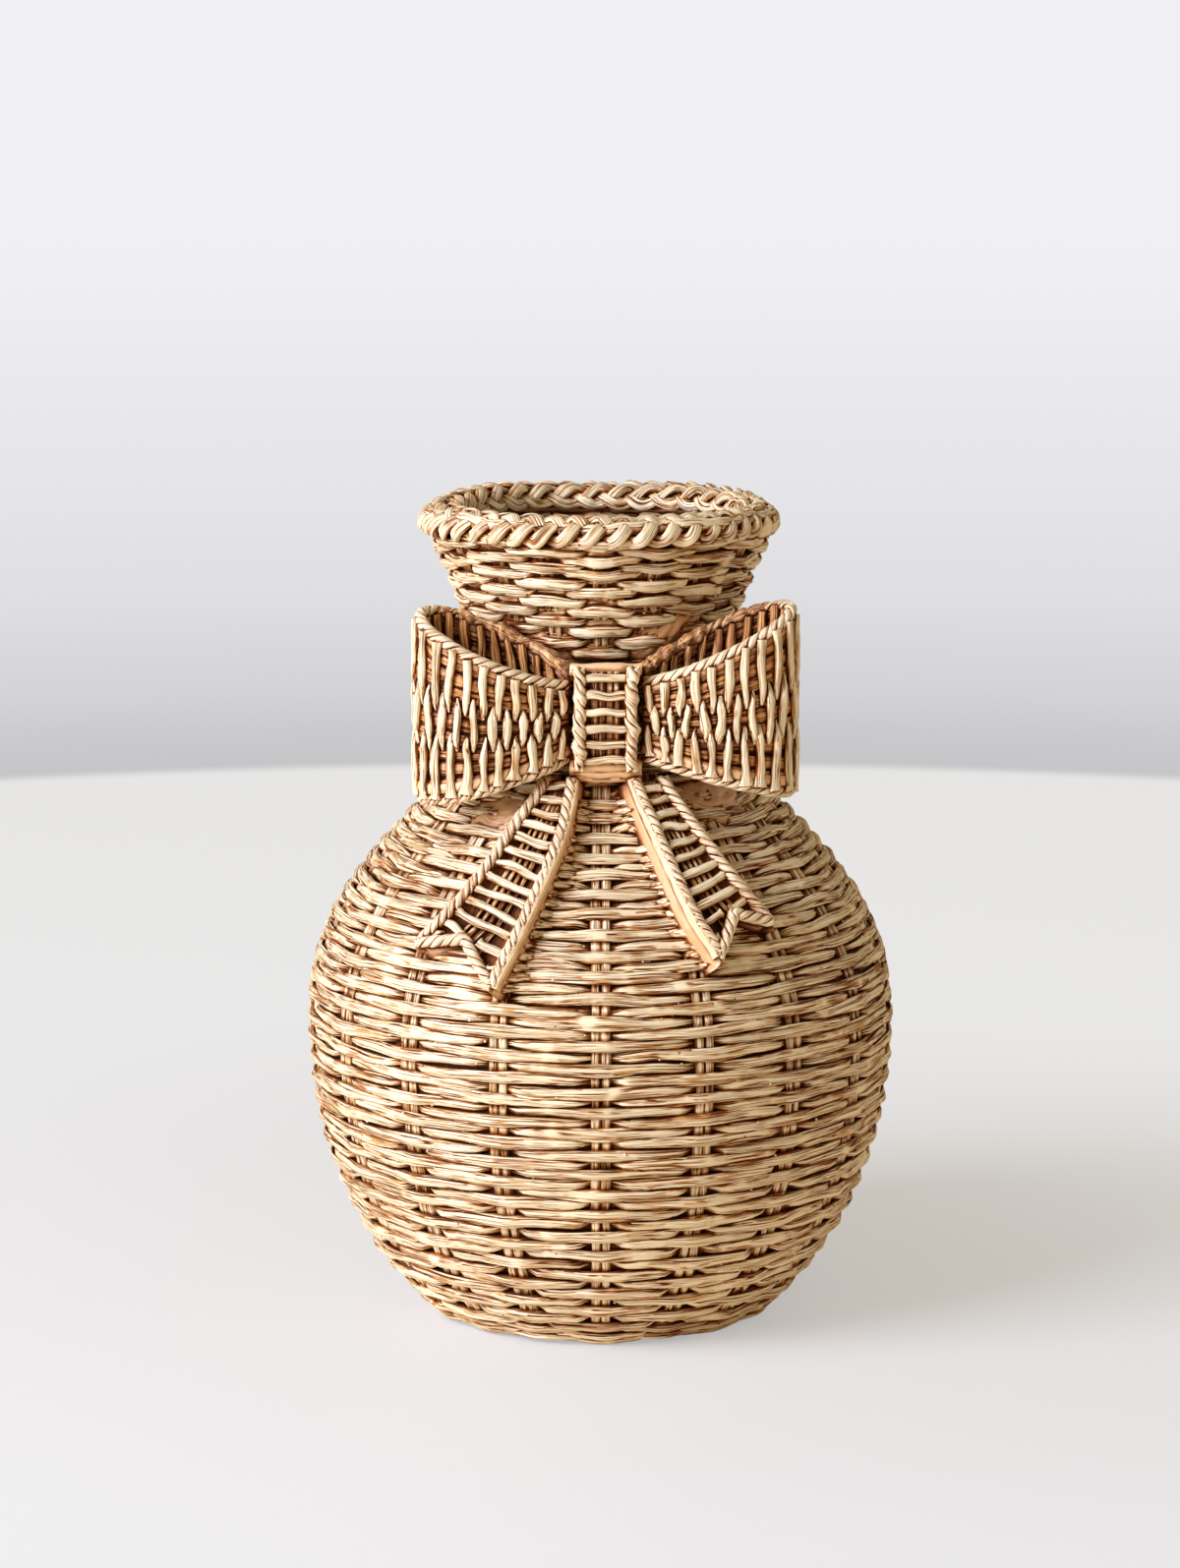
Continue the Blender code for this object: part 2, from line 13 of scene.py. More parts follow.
import bpy
import numpy as np
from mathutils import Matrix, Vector


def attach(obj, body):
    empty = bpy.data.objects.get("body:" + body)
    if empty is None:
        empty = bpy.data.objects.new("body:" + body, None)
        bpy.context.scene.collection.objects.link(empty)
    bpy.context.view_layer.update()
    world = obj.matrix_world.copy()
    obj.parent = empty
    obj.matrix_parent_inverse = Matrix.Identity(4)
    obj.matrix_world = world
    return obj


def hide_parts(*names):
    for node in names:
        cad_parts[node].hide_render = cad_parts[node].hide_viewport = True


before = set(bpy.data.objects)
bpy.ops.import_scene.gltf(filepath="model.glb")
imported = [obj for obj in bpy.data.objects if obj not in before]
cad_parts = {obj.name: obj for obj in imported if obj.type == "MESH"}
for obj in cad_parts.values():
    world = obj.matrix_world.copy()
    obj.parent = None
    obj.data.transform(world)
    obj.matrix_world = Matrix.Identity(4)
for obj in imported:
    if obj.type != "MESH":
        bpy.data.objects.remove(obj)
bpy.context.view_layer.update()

Array = np.ndarray
Colour = tuple[float, float, float, float]
Material = bpy.types.Material
Mesh = bpy.types.Mesh
Node = bpy.types.Node
NodeTree = bpy.types.NodeTree
Piece = bpy.types.Object
Socket = bpy.types.NodeSocket
LOG = logging.getLogger("vase")
FULL_TURN = 2 * math.pi


class Slot(Enum):
    """The record's material slots."""

    STRAW = "straw_resin"
    PALE = "pale_straw_resin"
    BARE = "bare_resin"


# Node trees


class Graph:
    """A node tree in the making, with short ways to add and join its nodes."""

    def __init__(self, tree: NodeTree) -> None:
        """Takes the tree that the nodes go in."""
        self.tree = tree

    @staticmethod
    def socket(sockets: Iterable[Socket], name: str) -> Socket:
        """The first enabled socket of a name."""
        found = [item for item in sockets if item.name == name]
        return next((item for item in found if item.enabled), found[0])

    def join(self, target: Socket, value: object) -> None:
        """Feeds a socket from another socket, or sets its own value.

        Args:
            target: the input to feed.
            value: a socket to link, or a plain value.
        """
        if isinstance(value, Socket):
            self.tree.links.new(value, target)
        else:
            target.default_value = value

    def node(self, kind: str, inputs: dict | None = None, **settings: object) -> Node:
        """Adds a node.

        Args:
            kind: Blender's name for the node's type.
            inputs: values or sockets by the name or the number of the input.
            settings: the node's own properties.

        Returns:
            The new node.
        """
        made = self.tree.nodes.new(kind)
        for name, value in settings.items():
            setattr(made, name, value)
        for name, value in (inputs or {}).items():
            target = made.inputs[name] if isinstance(name, int) else self.socket(made.inputs, name)
            self.join(target, value)
        return made

    def out(self, kind: str, output: str, inputs: dict | None = None, **settings: object) -> Socket:
        """Adds a node and returns one of its outputs by name."""
        return self.socket(self.node(kind, inputs, **settings).outputs, output)

    def maths(self, operation: str, *values: object, clamp: bool = False) -> Socket:
        """A number from numbers, by one of Blender's Math operations."""
        made = self.node("ShaderNodeMath", dict(enumerate(values)), operation=operation, use_clamp=clamp)
        return made.outputs[0]

    def total(self, *values: object) -> Socket:
        """The sum of numbers."""
        return reduce(lambda so_far, value: self.maths("ADD", so_far, value), values)

    def product(self, *values: object) -> Socket:
        """The product of numbers."""
        return reduce(lambda so_far, value: self.maths("MULTIPLY", so_far, value), values)

    def less(self, value: object, taken: object) -> Socket:
        """A number with another taken from it."""
        return self.maths("SUBTRACT", value, taken)

    def vector(self, operation: str, *values: object) -> Socket:
        """A vector from vectors, by one of Blender's Vector Math operations.

        Args:
            operation: Blender's name for the operation.
            values: sockets or plain values, in the order of the node's inputs.

        Returns:
            The result, which is a number where the operation gives one.
        """
        inputs = {0: values[0], "Scale": values[1]} if operation == "SCALE" else dict(enumerate(values))
        made = self.node("ShaderNodeVectorMath", inputs, operation=operation)
        return made.outputs["Value" if operation == "LENGTH" else "Vector"]

    def smooth(self, value: object, low: float, high: float) -> Socket:
        """A number eased from 0 to 1 between two limits."""
        inputs = {"Value": value, "From Min": low, "From Max": high}
        return self.out("ShaderNodeMapRange", "Result", inputs, interpolation_type="SMOOTHSTEP")

    def noise(self, place: object, scale: float, detail: float) -> Socket:
        """Noise from 0 to 1 at a place."""
        inputs = {"Vector": place, "Scale": scale, "Detail": detail}
        return self.out("ShaderNodeTexNoise", "Fac", inputs)

    def mixed(self, share: object, low: object, high: object) -> Socket:
        """A colour between two others."""
        inputs = {"Factor": share, "A": low, "B": high}
        return self.out("ShaderNodeMix", "Result", inputs, data_type="RGBA")

    def attribute(self, name: str, output: str = "Fac") -> Socket:
        """A point attribute, as a material reads it."""
        return self.out("ShaderNodeAttribute", output, attribute_name=name)

    def stored(self, name: str, kind: str = "FLOAT") -> Socket:
        """A point attribute, as Geometry Nodes read it."""
        return self.out("GeometryNodeInputNamedAttribute", "Attribute", {"Name": name}, data_type=kind)

    def keep(self, geometry: Socket, name: str, value: Socket, kind: str = "FLOAT") -> Socket:
        """Stores a value at the points of geometry.

        Args:
            geometry: the geometry.
            name: the attribute's name.
            value: what to store.
            kind: Blender's name for the attribute's type.

        Returns:
            The geometry with the attribute.
        """
        inputs = {"Geometry": geometry, "Name": name, "Value": value}
        settings = {"data_type": kind, "domain": "POINT"}
        return self.out("GeometryNodeStoreNamedAttribute", "Geometry", inputs, **settings)


def geometry_tree(name: str, inputs: dict[str, object]) -> tuple[Graph, Node]:
    """Starts a Geometry Nodes tree with named inputs.

    Args:
        name: the tree's name.
        inputs: default value by name, beside the geometry; None stands for a material.

    Returns:
        The graph, and the node that gives the inputs.
    """
    kinds = {int: "NodeSocketInt", float: "NodeSocketFloat", type(None): "NodeSocketMaterial"}
    tree = bpy.data.node_groups.new(name, "GeometryNodeTree")
    tree.interface.new_socket(name="Geometry", in_out="INPUT", socket_type="NodeSocketGeometry")
    for label, value in inputs.items():
        socket = tree.interface.new_socket(name=label, in_out="INPUT", socket_type=kinds[type(value)])
        if value is not None:
            socket.default_value = value
    tree.interface.new_socket(name="Geometry", in_out="OUTPUT", socket_type="NodeSocketGeometry")
    graph = Graph(tree)
    return graph, graph.node("NodeGroupInput")


def close_tree(graph: Graph, geometry: Socket, material: Socket | None = None) -> NodeTree:
    """Ends a Geometry Nodes tree in Realize Instances and Set Material.

    Args:
        graph: the tree's graph.
        geometry: what the tree gives.
        material: the input that holds the material, where the tree sets one.

    Returns:
        The tree.
    """
    made = graph.out("GeometryNodeRealizeInstances", "Geometry", {"Geometry": geometry})
    if material is not None:
        made = graph.out("GeometryNodeSetMaterial", "Geometry", {"Geometry": made, "Material": material})
    graph.node("NodeGroupOutput", {0: made})
    return graph.tree


def run_tree(source: Piece, tree: NodeTree, values: dict[str, object]) -> Mesh:
    """Runs a tree on an object, which it removes, and returns the plain mesh that it makes.

    Args:
        source: the object whose mesh goes in.
        tree: the tree to run.
        values: the tree's inputs by name.

    Returns:
        A mesh of its own, with the tree's attributes on it.
    """
    modifier = source.modifiers.new("making", "NODES")
    modifier.node_group = tree
    places = {item.name: item.identifier for item in tree.interface.items_tree if item.in_out == "INPUT"}
    for name, value in values.items():
        modifier[places[name]] = value
    bpy.context.view_layer.update()
    graph = bpy.context.evaluated_depsgraph_get()
    ready = source.evaluated_get(graph)
    mesh = bpy.data.meshes.new_from_object(ready, preserve_all_data_layers=True, depsgraph=graph)
    source.modifiers.remove(modifier)
    bpy.data.objects.remove(source)
    return mesh


# Meshes


def new_object(name: str, data: bpy.types.ID) -> Piece:
    """An object in the scene that holds a mesh, a lamp or a camera.

    Args:
        name: the object's name.
        data: what it holds.

    Returns:
        The object.
    """
    made = bpy.data.objects.new(name, data)
    bpy.context.scene.collection.objects.link(made)
    return made


def store(mesh: Mesh, name: str, values: Array) -> None:
    """Keeps one number or one vector for each point of a mesh.

    Args:
        mesh: the mesh.
        name: the attribute's name.
        values: numbers, or rows of three.
    """
    kind, key = ("FLOAT", "value") if values.ndim == 1 else ("FLOAT_VECTOR", "vector")
    layer = mesh.attributes.get(name) or mesh.attributes.new(name, kind, "POINT")
    layer.data.foreach_set(key, np.ascontiguousarray(values, np.float32).ravel())


def rows_of_three(items: Sequence, key: str, kind: type) -> Array:
    """Reads three values from each of a mesh's points or triangles.

    Args:
        items: the points or triangles.
        key: what to read.
        kind: the values' type.

    Returns:
        The values as rows.
    """
    flat = np.empty(3 * len(items), kind)
    items.foreach_get(key, flat)
    return flat.reshape(-1, 3)


def point_array(mesh: Mesh) -> Array:
    """A mesh's points as an array."""
    return rows_of_three(mesh.vertices, "co", np.float32)


def triangle_array(mesh: Mesh) -> Array:
    """A mesh's triangles as rows of three point numbers."""
    mesh.calc_loop_triangles()
    return rows_of_three(mesh.loop_triangles, "vertices", np.int32)


def face_outwards(mesh: Mesh) -> None:
    """Turns a closed mesh's faces outwards if they point inwards.

    Args:
        mesh: the mesh to turn.
    """
    points, faces = point_array(mesh).astype(float), triangle_array(mesh)
    a, b, c = (points[faces[:, corner]] for corner in range(3))
    if np.einsum("ij,ij->i", a, np.cross(b, c)).sum() < 0:
        mesh.flip_normals()


def unit(vectors: Array) -> Array:
    """Vectors at length one."""
    return vectors / np.linalg.norm(vectors, axis=-1, keepdims=True)


def ease(value: Array, low: float, high: float) -> Array:
    """A number eased from 0 to 1 between two limits."""
    share = np.clip((value - low) / (high - low), 0, 1)
    return share * share * (3 - 2 * share)


def arc_lengths(points: Array) -> Array:
    """The length of a line of points up to each of them."""
    steps = np.linalg.norm(np.diff(points, axis=0), axis=1)
    return np.concatenate([[0], steps.cumsum()])


def around(angle: Array, radius: Array | float, height: Array | float) -> Array:
    """Points at angles round the vase, at a radius and a height."""
    return np.stack([radius * np.sin(angle), -radius * np.cos(angle), height + 0 * angle], axis=-1)


def ring_quads(index: Array) -> Array:
    """Faces between neighbouring rings of points, given by their numbers."""
    nearby = np.roll(index, -1, axis=1)
    return np.stack([index[:-1], nearby[:-1], nearby[1:], index[1:]], axis=2).reshape(-1, 4)


def grid_mesh(name: str, rings: Array, closed: bool = False) -> Mesh:
    """A closed skin over rings of points.

    Args:
        name: the mesh's name.
        rings: points as rings by points by three.
        closed: whether the last ring meets the first, in place of a flat cap at each end.

    Returns:
        The mesh, with its faces outwards and its lengths along and across stored as its lay.
    """
    count, around = rings.shape[:2]
    along = np.linalg.norm(np.diff(rings, axis=0, prepend=rings[:1]), axis=2).cumsum(axis=0)
    across = np.linalg.norm(np.diff(rings, axis=1, prepend=rings[:, :1]), axis=2)
    lay = np.stack([along, across.cumsum(axis=1), along * 0], axis=2)
    index = np.arange(count * around).reshape(count, around)
    caps = [] if closed else [index[0][::-1].tolist(), index[-1].tolist()]
    if closed:
        index = np.concatenate([index, index[:1]])
    mesh = bpy.data.meshes.new(name)
    mesh.from_pydata(rings.reshape(-1, 3).tolist(), [], [*ring_quads(index).tolist(), *caps])
    store(mesh, "lay", lay.reshape(-1, 3))
    mesh.shade_smooth()
    face_outwards(mesh)
    return mesh


# The vase's form


@dataclass(frozen=True)
class VaseForm:
    """The outer crest, which every woven piece follows."""

    foot: float = 0.0465
    belly: float = 0.0843
    waist: float = 0.0350
    collar: float = 0.0490
    belly_height: float = 0.0840
    waist_height: float = 0.1780
    collar_rise: float = 0.0457
    roundness: float = 0.72
    slope: float = 1.3
    flare: float = 1.6
    stakes: int = 18
    probe: float = 0.0004

    def crest(self, height: Array) -> Array:
        """Radius of the crest.

        Args:
            height: heights above the table.

        Returns:
            The radius at each height.
        """
        lower = np.clip(height / self.belly_height, 0, 1)
        upper = (height - self.belly_height) / (self.waist_height - self.belly_height)
        draw_in = (1 - np.cos(math.pi * np.clip(upper, 0, 1) ** self.slope)) / 2
        spread = np.clip((height - self.waist_height) / self.collar_rise, 0, None) ** self.flare
        rise = (1 - (1 - lower) ** 2) ** self.roundness
        swell = (self.belly - self.foot) * rise - (self.belly - self.waist) * draw_in
        return self.foot + swell + (self.collar - self.waist) * spread

    def radius(self, height: float) -> float:
        """Radius of the crest at one height."""
        return float(self.crest(np.array(height)))

    def steepness(self, height: Array) -> Array:
        """How much the radius grows with the height."""
        low, high = np.maximum(height - self.probe, self.probe / 2), height + self.probe
        return (self.crest(high) - self.crest(low)) / (high - low)

    def place(self, angle: Array, height: Array, proud: Array) -> Array:
        """Points that stand proud of the crest, square to it.

        Args:
            angle: the points' angles.
            height: the heights on the crest that they belong to.
            proud: how far they stand off it.

        Returns:
            The points.
        """
        slope = self.steepness(height)
        square = np.hypot(1, slope)
        radius = self.crest(height) + proud / square
        return around(angle, radius, height - proud * slope / square)

    def square_to(self, angle: Array, height: Array) -> Array:
        """The crest's outward direction."""
        return unit(self.place(angle, height, 0.001) - self.place(angle, height, 0.0))

    def arc(self, low: float, high: float, count: int) -> tuple[Array, Array]:
        """Heights, and the lengths along the crest up to them."""
        heights = np.linspace(low, high, count)
        return heights, arc_lengths(np.stack([heights, self.crest(heights)], axis=1))


FORM = VaseForm()


# Strands


@dataclass
class Strand:
    """A cane's middle line, with its section at each point; single values hold for all of them."""

    points: Array
    outward: Array
    half_width: Array | float
    half_height: Array | float
    tone: Array | float = 0.5
    # Extra brown on a cane: real wash on some pieces, painted shade on others
    stain: Array | float = 0.0

    def __post_init__(self) -> None:
        """Spreads single values over all points."""
        self.points = np.asarray(self.points, float)
        count = len(self.points)
        self.outward = unit(np.broadcast_to(np.asarray(self.outward, float), (count, 3)))
        for key in ("half_width", "half_height", "tone", "stain"):
            value = np.asarray(getattr(self, key), float)
            setattr(self, key, np.broadcast_to(value, (count,)).copy())


@dataclass(frozen=True)
class SweepSizes:
    """How a bundle of canes is worked. The grooves' fields say how close they lie."""

    sides: int = 12
    groove_depth: float = 0.0002
    grooves_across: float = 1.7
    grooves_along: float = 45.0
    lump_size: float = 0.0002
    outer_focus: float = 0.3

    def inputs(self) -> dict[str, object]:
        """The sizes by the names of the sweep's inputs."""
        return {key.replace("_", " ").title(): value for key, value in asdict(self).items()}


ROPE_SWEEP = SweepSizes(10, 0.00010, lump_size=0.00022, outer_focus=0.0)


class CaneSweep:
    """The tree that gives every cane its body: an oval section swept along its middle line."""

    cane_apart = 291.0
    lump_scale = 210.0
    crown = 0.32
    groove_gain = 4.0
    lump_gain = 3.0

    def body(self, graph: Graph, given: Node) -> Socket:
        """Sweeps a circle along each line, and stores what the section's own place needs.

        Args:
            graph: the tree's graph.
            given: the node that gives the tree's inputs.

        Returns:
            The swept canes.
        """
        place = graph.node("GeometryNodeInputPosition").outputs[0]
        tangent = graph.node("GeometryNodeInputTangent").outputs[0]
        curve = graph.out("GeometryNodeMeshToCurve", "Curve", {"Mesh": given.outputs["Geometry"]})
        curve = graph.keep(curve, "centre", place, "FLOAT_VECTOR")
        curve = graph.keep(curve, "forward", tangent, "FLOAT_VECTOR")
        curve = graph.keep(curve, "along", graph.out("GeometryNodeSplineParameter", "Length"))
        inputs = {"Resolution": given.outputs["Sides"], "Radius": 1.0}
        circle = graph.out("GeometryNodeCurvePrimitiveCircle", "Curve", inputs)
        circle = graph.keep(circle, "section", place, "FLOAT_VECTOR")
        inputs = {"Curve": curve, "Profile Curve": circle, "Fill Caps": True}
        return graph.out("GeometryNodeCurveToMesh", "Mesh", inputs)

    def swell(self, graph: Graph, given: Node, seat: dict[int, Socket], centre: Socket) -> Socket:
        """How far grooves and lumps move the surface.

        Args:
            graph: the tree's graph.
            given: the node that gives the tree's inputs.
            seat: where the noise of the grooves is read, axis by axis.
            centre: the middle line, where that of the lumps is read.

        Returns:
            The distance.
        """
        seat = graph.node("ShaderNodeCombineXYZ", seat).outputs[0]
        groove = graph.less(graph.noise(seat, 1.0, 2.0), 0.5)
        lumps = graph.less(graph.noise(centre, self.lump_scale, 1.0), 0.5)
        groove = graph.product(groove, given.outputs["Groove Depth"], self.groove_gain)
        return graph.total(groove, graph.product(lumps, given.outputs["Lump Size"], self.lump_gain))

    def tree(self) -> NodeTree:
        """Builds the tree.

        Returns:
            The tree, whose inputs are the fields of SweepSizes and the material.
        """
        graph, given = geometry_tree("cane sweep", SweepSizes().inputs() | {"Material": None})
        body = self.body(graph, given)
        section = graph.node("ShaderNodeSeparateXYZ", {0: graph.stored("section", "FLOAT_VECTOR")}).outputs
        turn = graph.maths("ARCTAN2", section["Y"], section["X"])
        turn = graph.total(turn, graph.product(graph.maths("COSINE", turn), given.outputs["Outer Focus"]))
        x, y = graph.maths("COSINE", turn), graph.maths("SINE", turn)
        keys = ("centre", "forward", "outward")
        centre, forward, outward = (graph.stored(key, "FLOAT_VECTOR") for key in keys)
        keys = ("along", "number", "half_width", "half_height")
        along, number, wide, tall = (graph.stored(key) for key in keys)
        across, run = given.outputs["Grooves Across"], given.outputs["Grooves Along"]
        start = graph.total(graph.product(along, run), graph.product(number, self.cane_apart))
        seat = {0: start, 1: graph.product(x, across), 2: graph.product(y, across)}
        swell = self.swell(graph, given, seat, centre)
        aside = graph.vector("NORMALIZE", graph.vector("CROSS_PRODUCT", forward, outward))
        crown = graph.less(1 + self.crown, graph.product(y, y, self.crown))
        side_way = graph.vector("SCALE", aside, x)
        out_way = graph.vector("SCALE", outward, graph.product(y, crown))
        oval = graph.vector("SCALE", side_way, wide)
        oval = graph.vector("ADD", oval, graph.vector("SCALE", out_way, tall))
        bump = graph.vector("SCALE", graph.vector("ADD", side_way, out_way), swell)
        place = graph.vector("ADD", centre, graph.vector("ADD", oval, bump))
        body = graph.out("GeometryNodeSetPosition", "Geometry", {"Geometry": body, "Position": place})
        lay = {0: along, 1: graph.product(x, wide), 2: graph.product(y, tall)}
        body = graph.keep(body, "lay", graph.node("ShaderNodeCombineXYZ", lay).outputs[0], "FLOAT_VECTOR")
        body = graph.out("GeometryNodeSetShadeSmooth", "Geometry", {"Geometry": body})
        return close_tree(graph, body, given.outputs["Material"])


class Workshop:
    """Makes the pieces and keeps them until they have their antique wash and painted shade."""

    spare = ("centre", "forward", "along", "section", "outward", "half_width", "half_height")
    golden_step = 0.618

    def __init__(self) -> None:
        """Builds the sweep's tree once for all canes."""
        self.sweep = CaneSweep().tree()
        self.pieces: list[Piece] = []

    def canes(
        self, name: str, strands: Sequence[Strand], finish: Material, nodes: Sequence[str],
        sizes: SweepSizes = SweepSizes(), slot: Slot = Slot.STRAW,
    ) -> None:
        """Makes one piece from strands.

        Args:
            name: the piece's name.
            strands: the canes' middle lines.
            finish: the piece's material.
            nodes: the CAD nodes that the piece replaces.
            sizes: how the canes are worked.
            slot: the record's slot that the finish stands for.
        """
        lines = bpy.data.meshes.new("lines")
        counts = [len(item.points) for item in strands]
        starts = np.concatenate([[0], np.cumsum(counts)])
        edges = np.concatenate(
            [np.stack([np.arange(n - 1), np.arange(1, n)], 1) + at for n, at in zip(counts, starts)]
        )
        points = np.concatenate([item.points for item in strands])
        lines.from_pydata(points.tolist(), edges.tolist(), [])
        for key in ("outward", "half_width", "half_height", "tone", "stain"):
            store(lines, key, np.concatenate([getattr(item, key) for item in strands]))
        store(lines, "number", np.repeat(np.arange(len(strands)) * self.golden_step % 1, counts))
        mesh = run_tree(new_object("lines", lines), self.sweep, sizes.inputs() | {"Material": finish})
        for key in self.spare:
            if layer := mesh.attributes.get(key):
                mesh.attributes.remove(layer)
        face_outwards(mesh)
        self.keep(name, mesh, finish, nodes, slot)

    def rope(
        self, name: str, strands: Sequence[Strand], finish: Material, sizes: SweepSizes = ROPE_SWEEP
    ) -> None:
        """Makes a rope, which replaces the CAD rope of the same name."""
        self.canes(name, strands, finish, [name], sizes, Slot.PALE)

    def keep(
        self, name: str, mesh: Mesh, finish: Material, nodes: Sequence[str], slot: Slot = Slot.STRAW
    ) -> None:
        """Makes a mesh a piece of the vase.

        Args:
            name: the piece's name.
            mesh: its mesh.
            finish: its material.
            nodes: the CAD nodes that it replaces.
            slot: the record's slot that the finish stands for; not used.
        """
        mesh.materials.clear()
        mesh.materials.append(finish)
        mesh.name = name
        made = new_object(name, mesh)
        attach(made, "root")
        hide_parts(*nodes)
        self.pieces.append(made)
        LOG.info("%s: %d faces", name, len(mesh.polygons))


# Antique wash and painted shade


@dataclass(frozen=True)
class WashAndPaintedShade:
    """Where brown wash gathers and shade is painted: how far neighbours shut each point in."""

    reach: float = 0.0055
    lift: float = 0.00012
    rays: int = 12
    spread: float = 0.93

    def tree(self) -> NodeTree:
        """The tree that casts rays from each point and stores the share that is shut in.

        Returns:
            The tree.
        """
        sizes = {"Reach": self.reach, "Lift": self.lift, "Spread": self.spread}
        graph, given = geometry_tree("antique wash", sizes)
        shape, reach = given.outputs["Geometry"], given.outputs["Reach"]
        normal = graph.node("GeometryNodeInputNormal").outputs[0]
        place = graph.node("GeometryNodeInputPosition").outputs[0]
        start = graph.vector("ADD", place, graph.vector("SCALE", normal, given.outputs["Lift"]))
        inputs = {"Target Geometry": shape, "Source Position": start, "Ray Length": reach}
        shut = []
        for ray in range(self.rays):
            rise = 1 - 2 * (ray + 0.5) / self.rays
            turn = ray * math.pi * (3 - math.sqrt(5))
            level = math.sqrt(1 - rise * rise)
            way = (level * math.cos(turn), level * math.sin(turn), rise)
            way = graph.vector("ADD", normal, graph.vector("SCALE", way, given.outputs["Spread"]))
            hit = graph.node("GeometryNodeRaycast", inputs | {"Ray Direction": way})
            near = graph.maths("DIVIDE", hit.outputs["Hit Distance"], reach)
            near = graph.maths("SUBTRACT", 1.0, near, clamp=True)
            shut.append(graph.product(graph.maths("SQRT", near), hit.outputs["Is Hit"]))
        # The share shut in is ambient occlusion; the finishes darken by it, partly real wash, partly
        # painted shade
        share = graph.maths("DIVIDE", graph.total(*shut), float(self.rays))
        return close_tree(graph, graph.keep(shape, "cavity", share))

    def apply(self, pieces: Sequence[Piece]) -> None:
        """Stores how shut in each point of the pieces is, with all of them in the way.

        Args:
            pieces: the pieces to wash together.
        """
        points = [point_array(piece.data) for piece in pieces]
        starts = np.concatenate([[0], np.cumsum([len(item) for item in points])])
        faces = [triangle_array(piece.data) + at for piece, at in zip(pieces, starts)]
        whole = bpy.data.meshes.new("whole")
        corners = np.concatenate(faces).astype(np.int32)
        whole.vertices.add(int(starts[-1]))
        whole.vertices.foreach_set("co", np.concatenate(points).ravel())
        whole.loops.add(corners.size)
        whole.loops.foreach_set("vertex_index", corners.ravel())
        whole.polygons.add(len(corners))
        whole.polygons.foreach_set("loop_start", np.arange(0, corners.size, 3, dtype=np.int32))
        whole.update(calc_edges=True)
        done = run_tree(new_object("whole", whole), self.tree(), {})
        shut = np.zeros(len(done.vertices), np.float32)
        done.attributes["cavity"].data.foreach_get("value", shut)
        for piece, low, high in zip(pieces, starts[:-1], starts[1:]):
            store(piece.data, "cavity", shut[low:high])
        LOG.info("wash: %d points, mean %.3f", len(shut), float(shut.mean()))


# Finishes


def paint(red: int, green: int, blue: int) -> Colour:
    """A colour as the renderer wants it.

    Args:
        red: its red on a screen, from 0 to 255.
        green: its green.
        blue: its blue.

    Returns:
        The colour, opaque.
    """
    shares = [value / 255 for value in (red, green, blue)]
    light = [s / 12.92 if s <= 0.04045 else ((s + 0.055) / 1.055) ** 2.4 for s in shares]
    return (*light, 1.0)


def start_material(name: str, shown: Colour) -> tuple[Material, Graph, Node]:
    """Starts a material.

    Args:
        name: its name.
        shown: its colour in a plain view.

    Returns:
        The material, its graph and its shader.
    """
    made = bpy.data.materials.new(name)
    made.use_nodes = True
    made.diffuse_color = shown
    return made, Graph(made.node_tree), made.node_tree.nodes["Principled BSDF"]


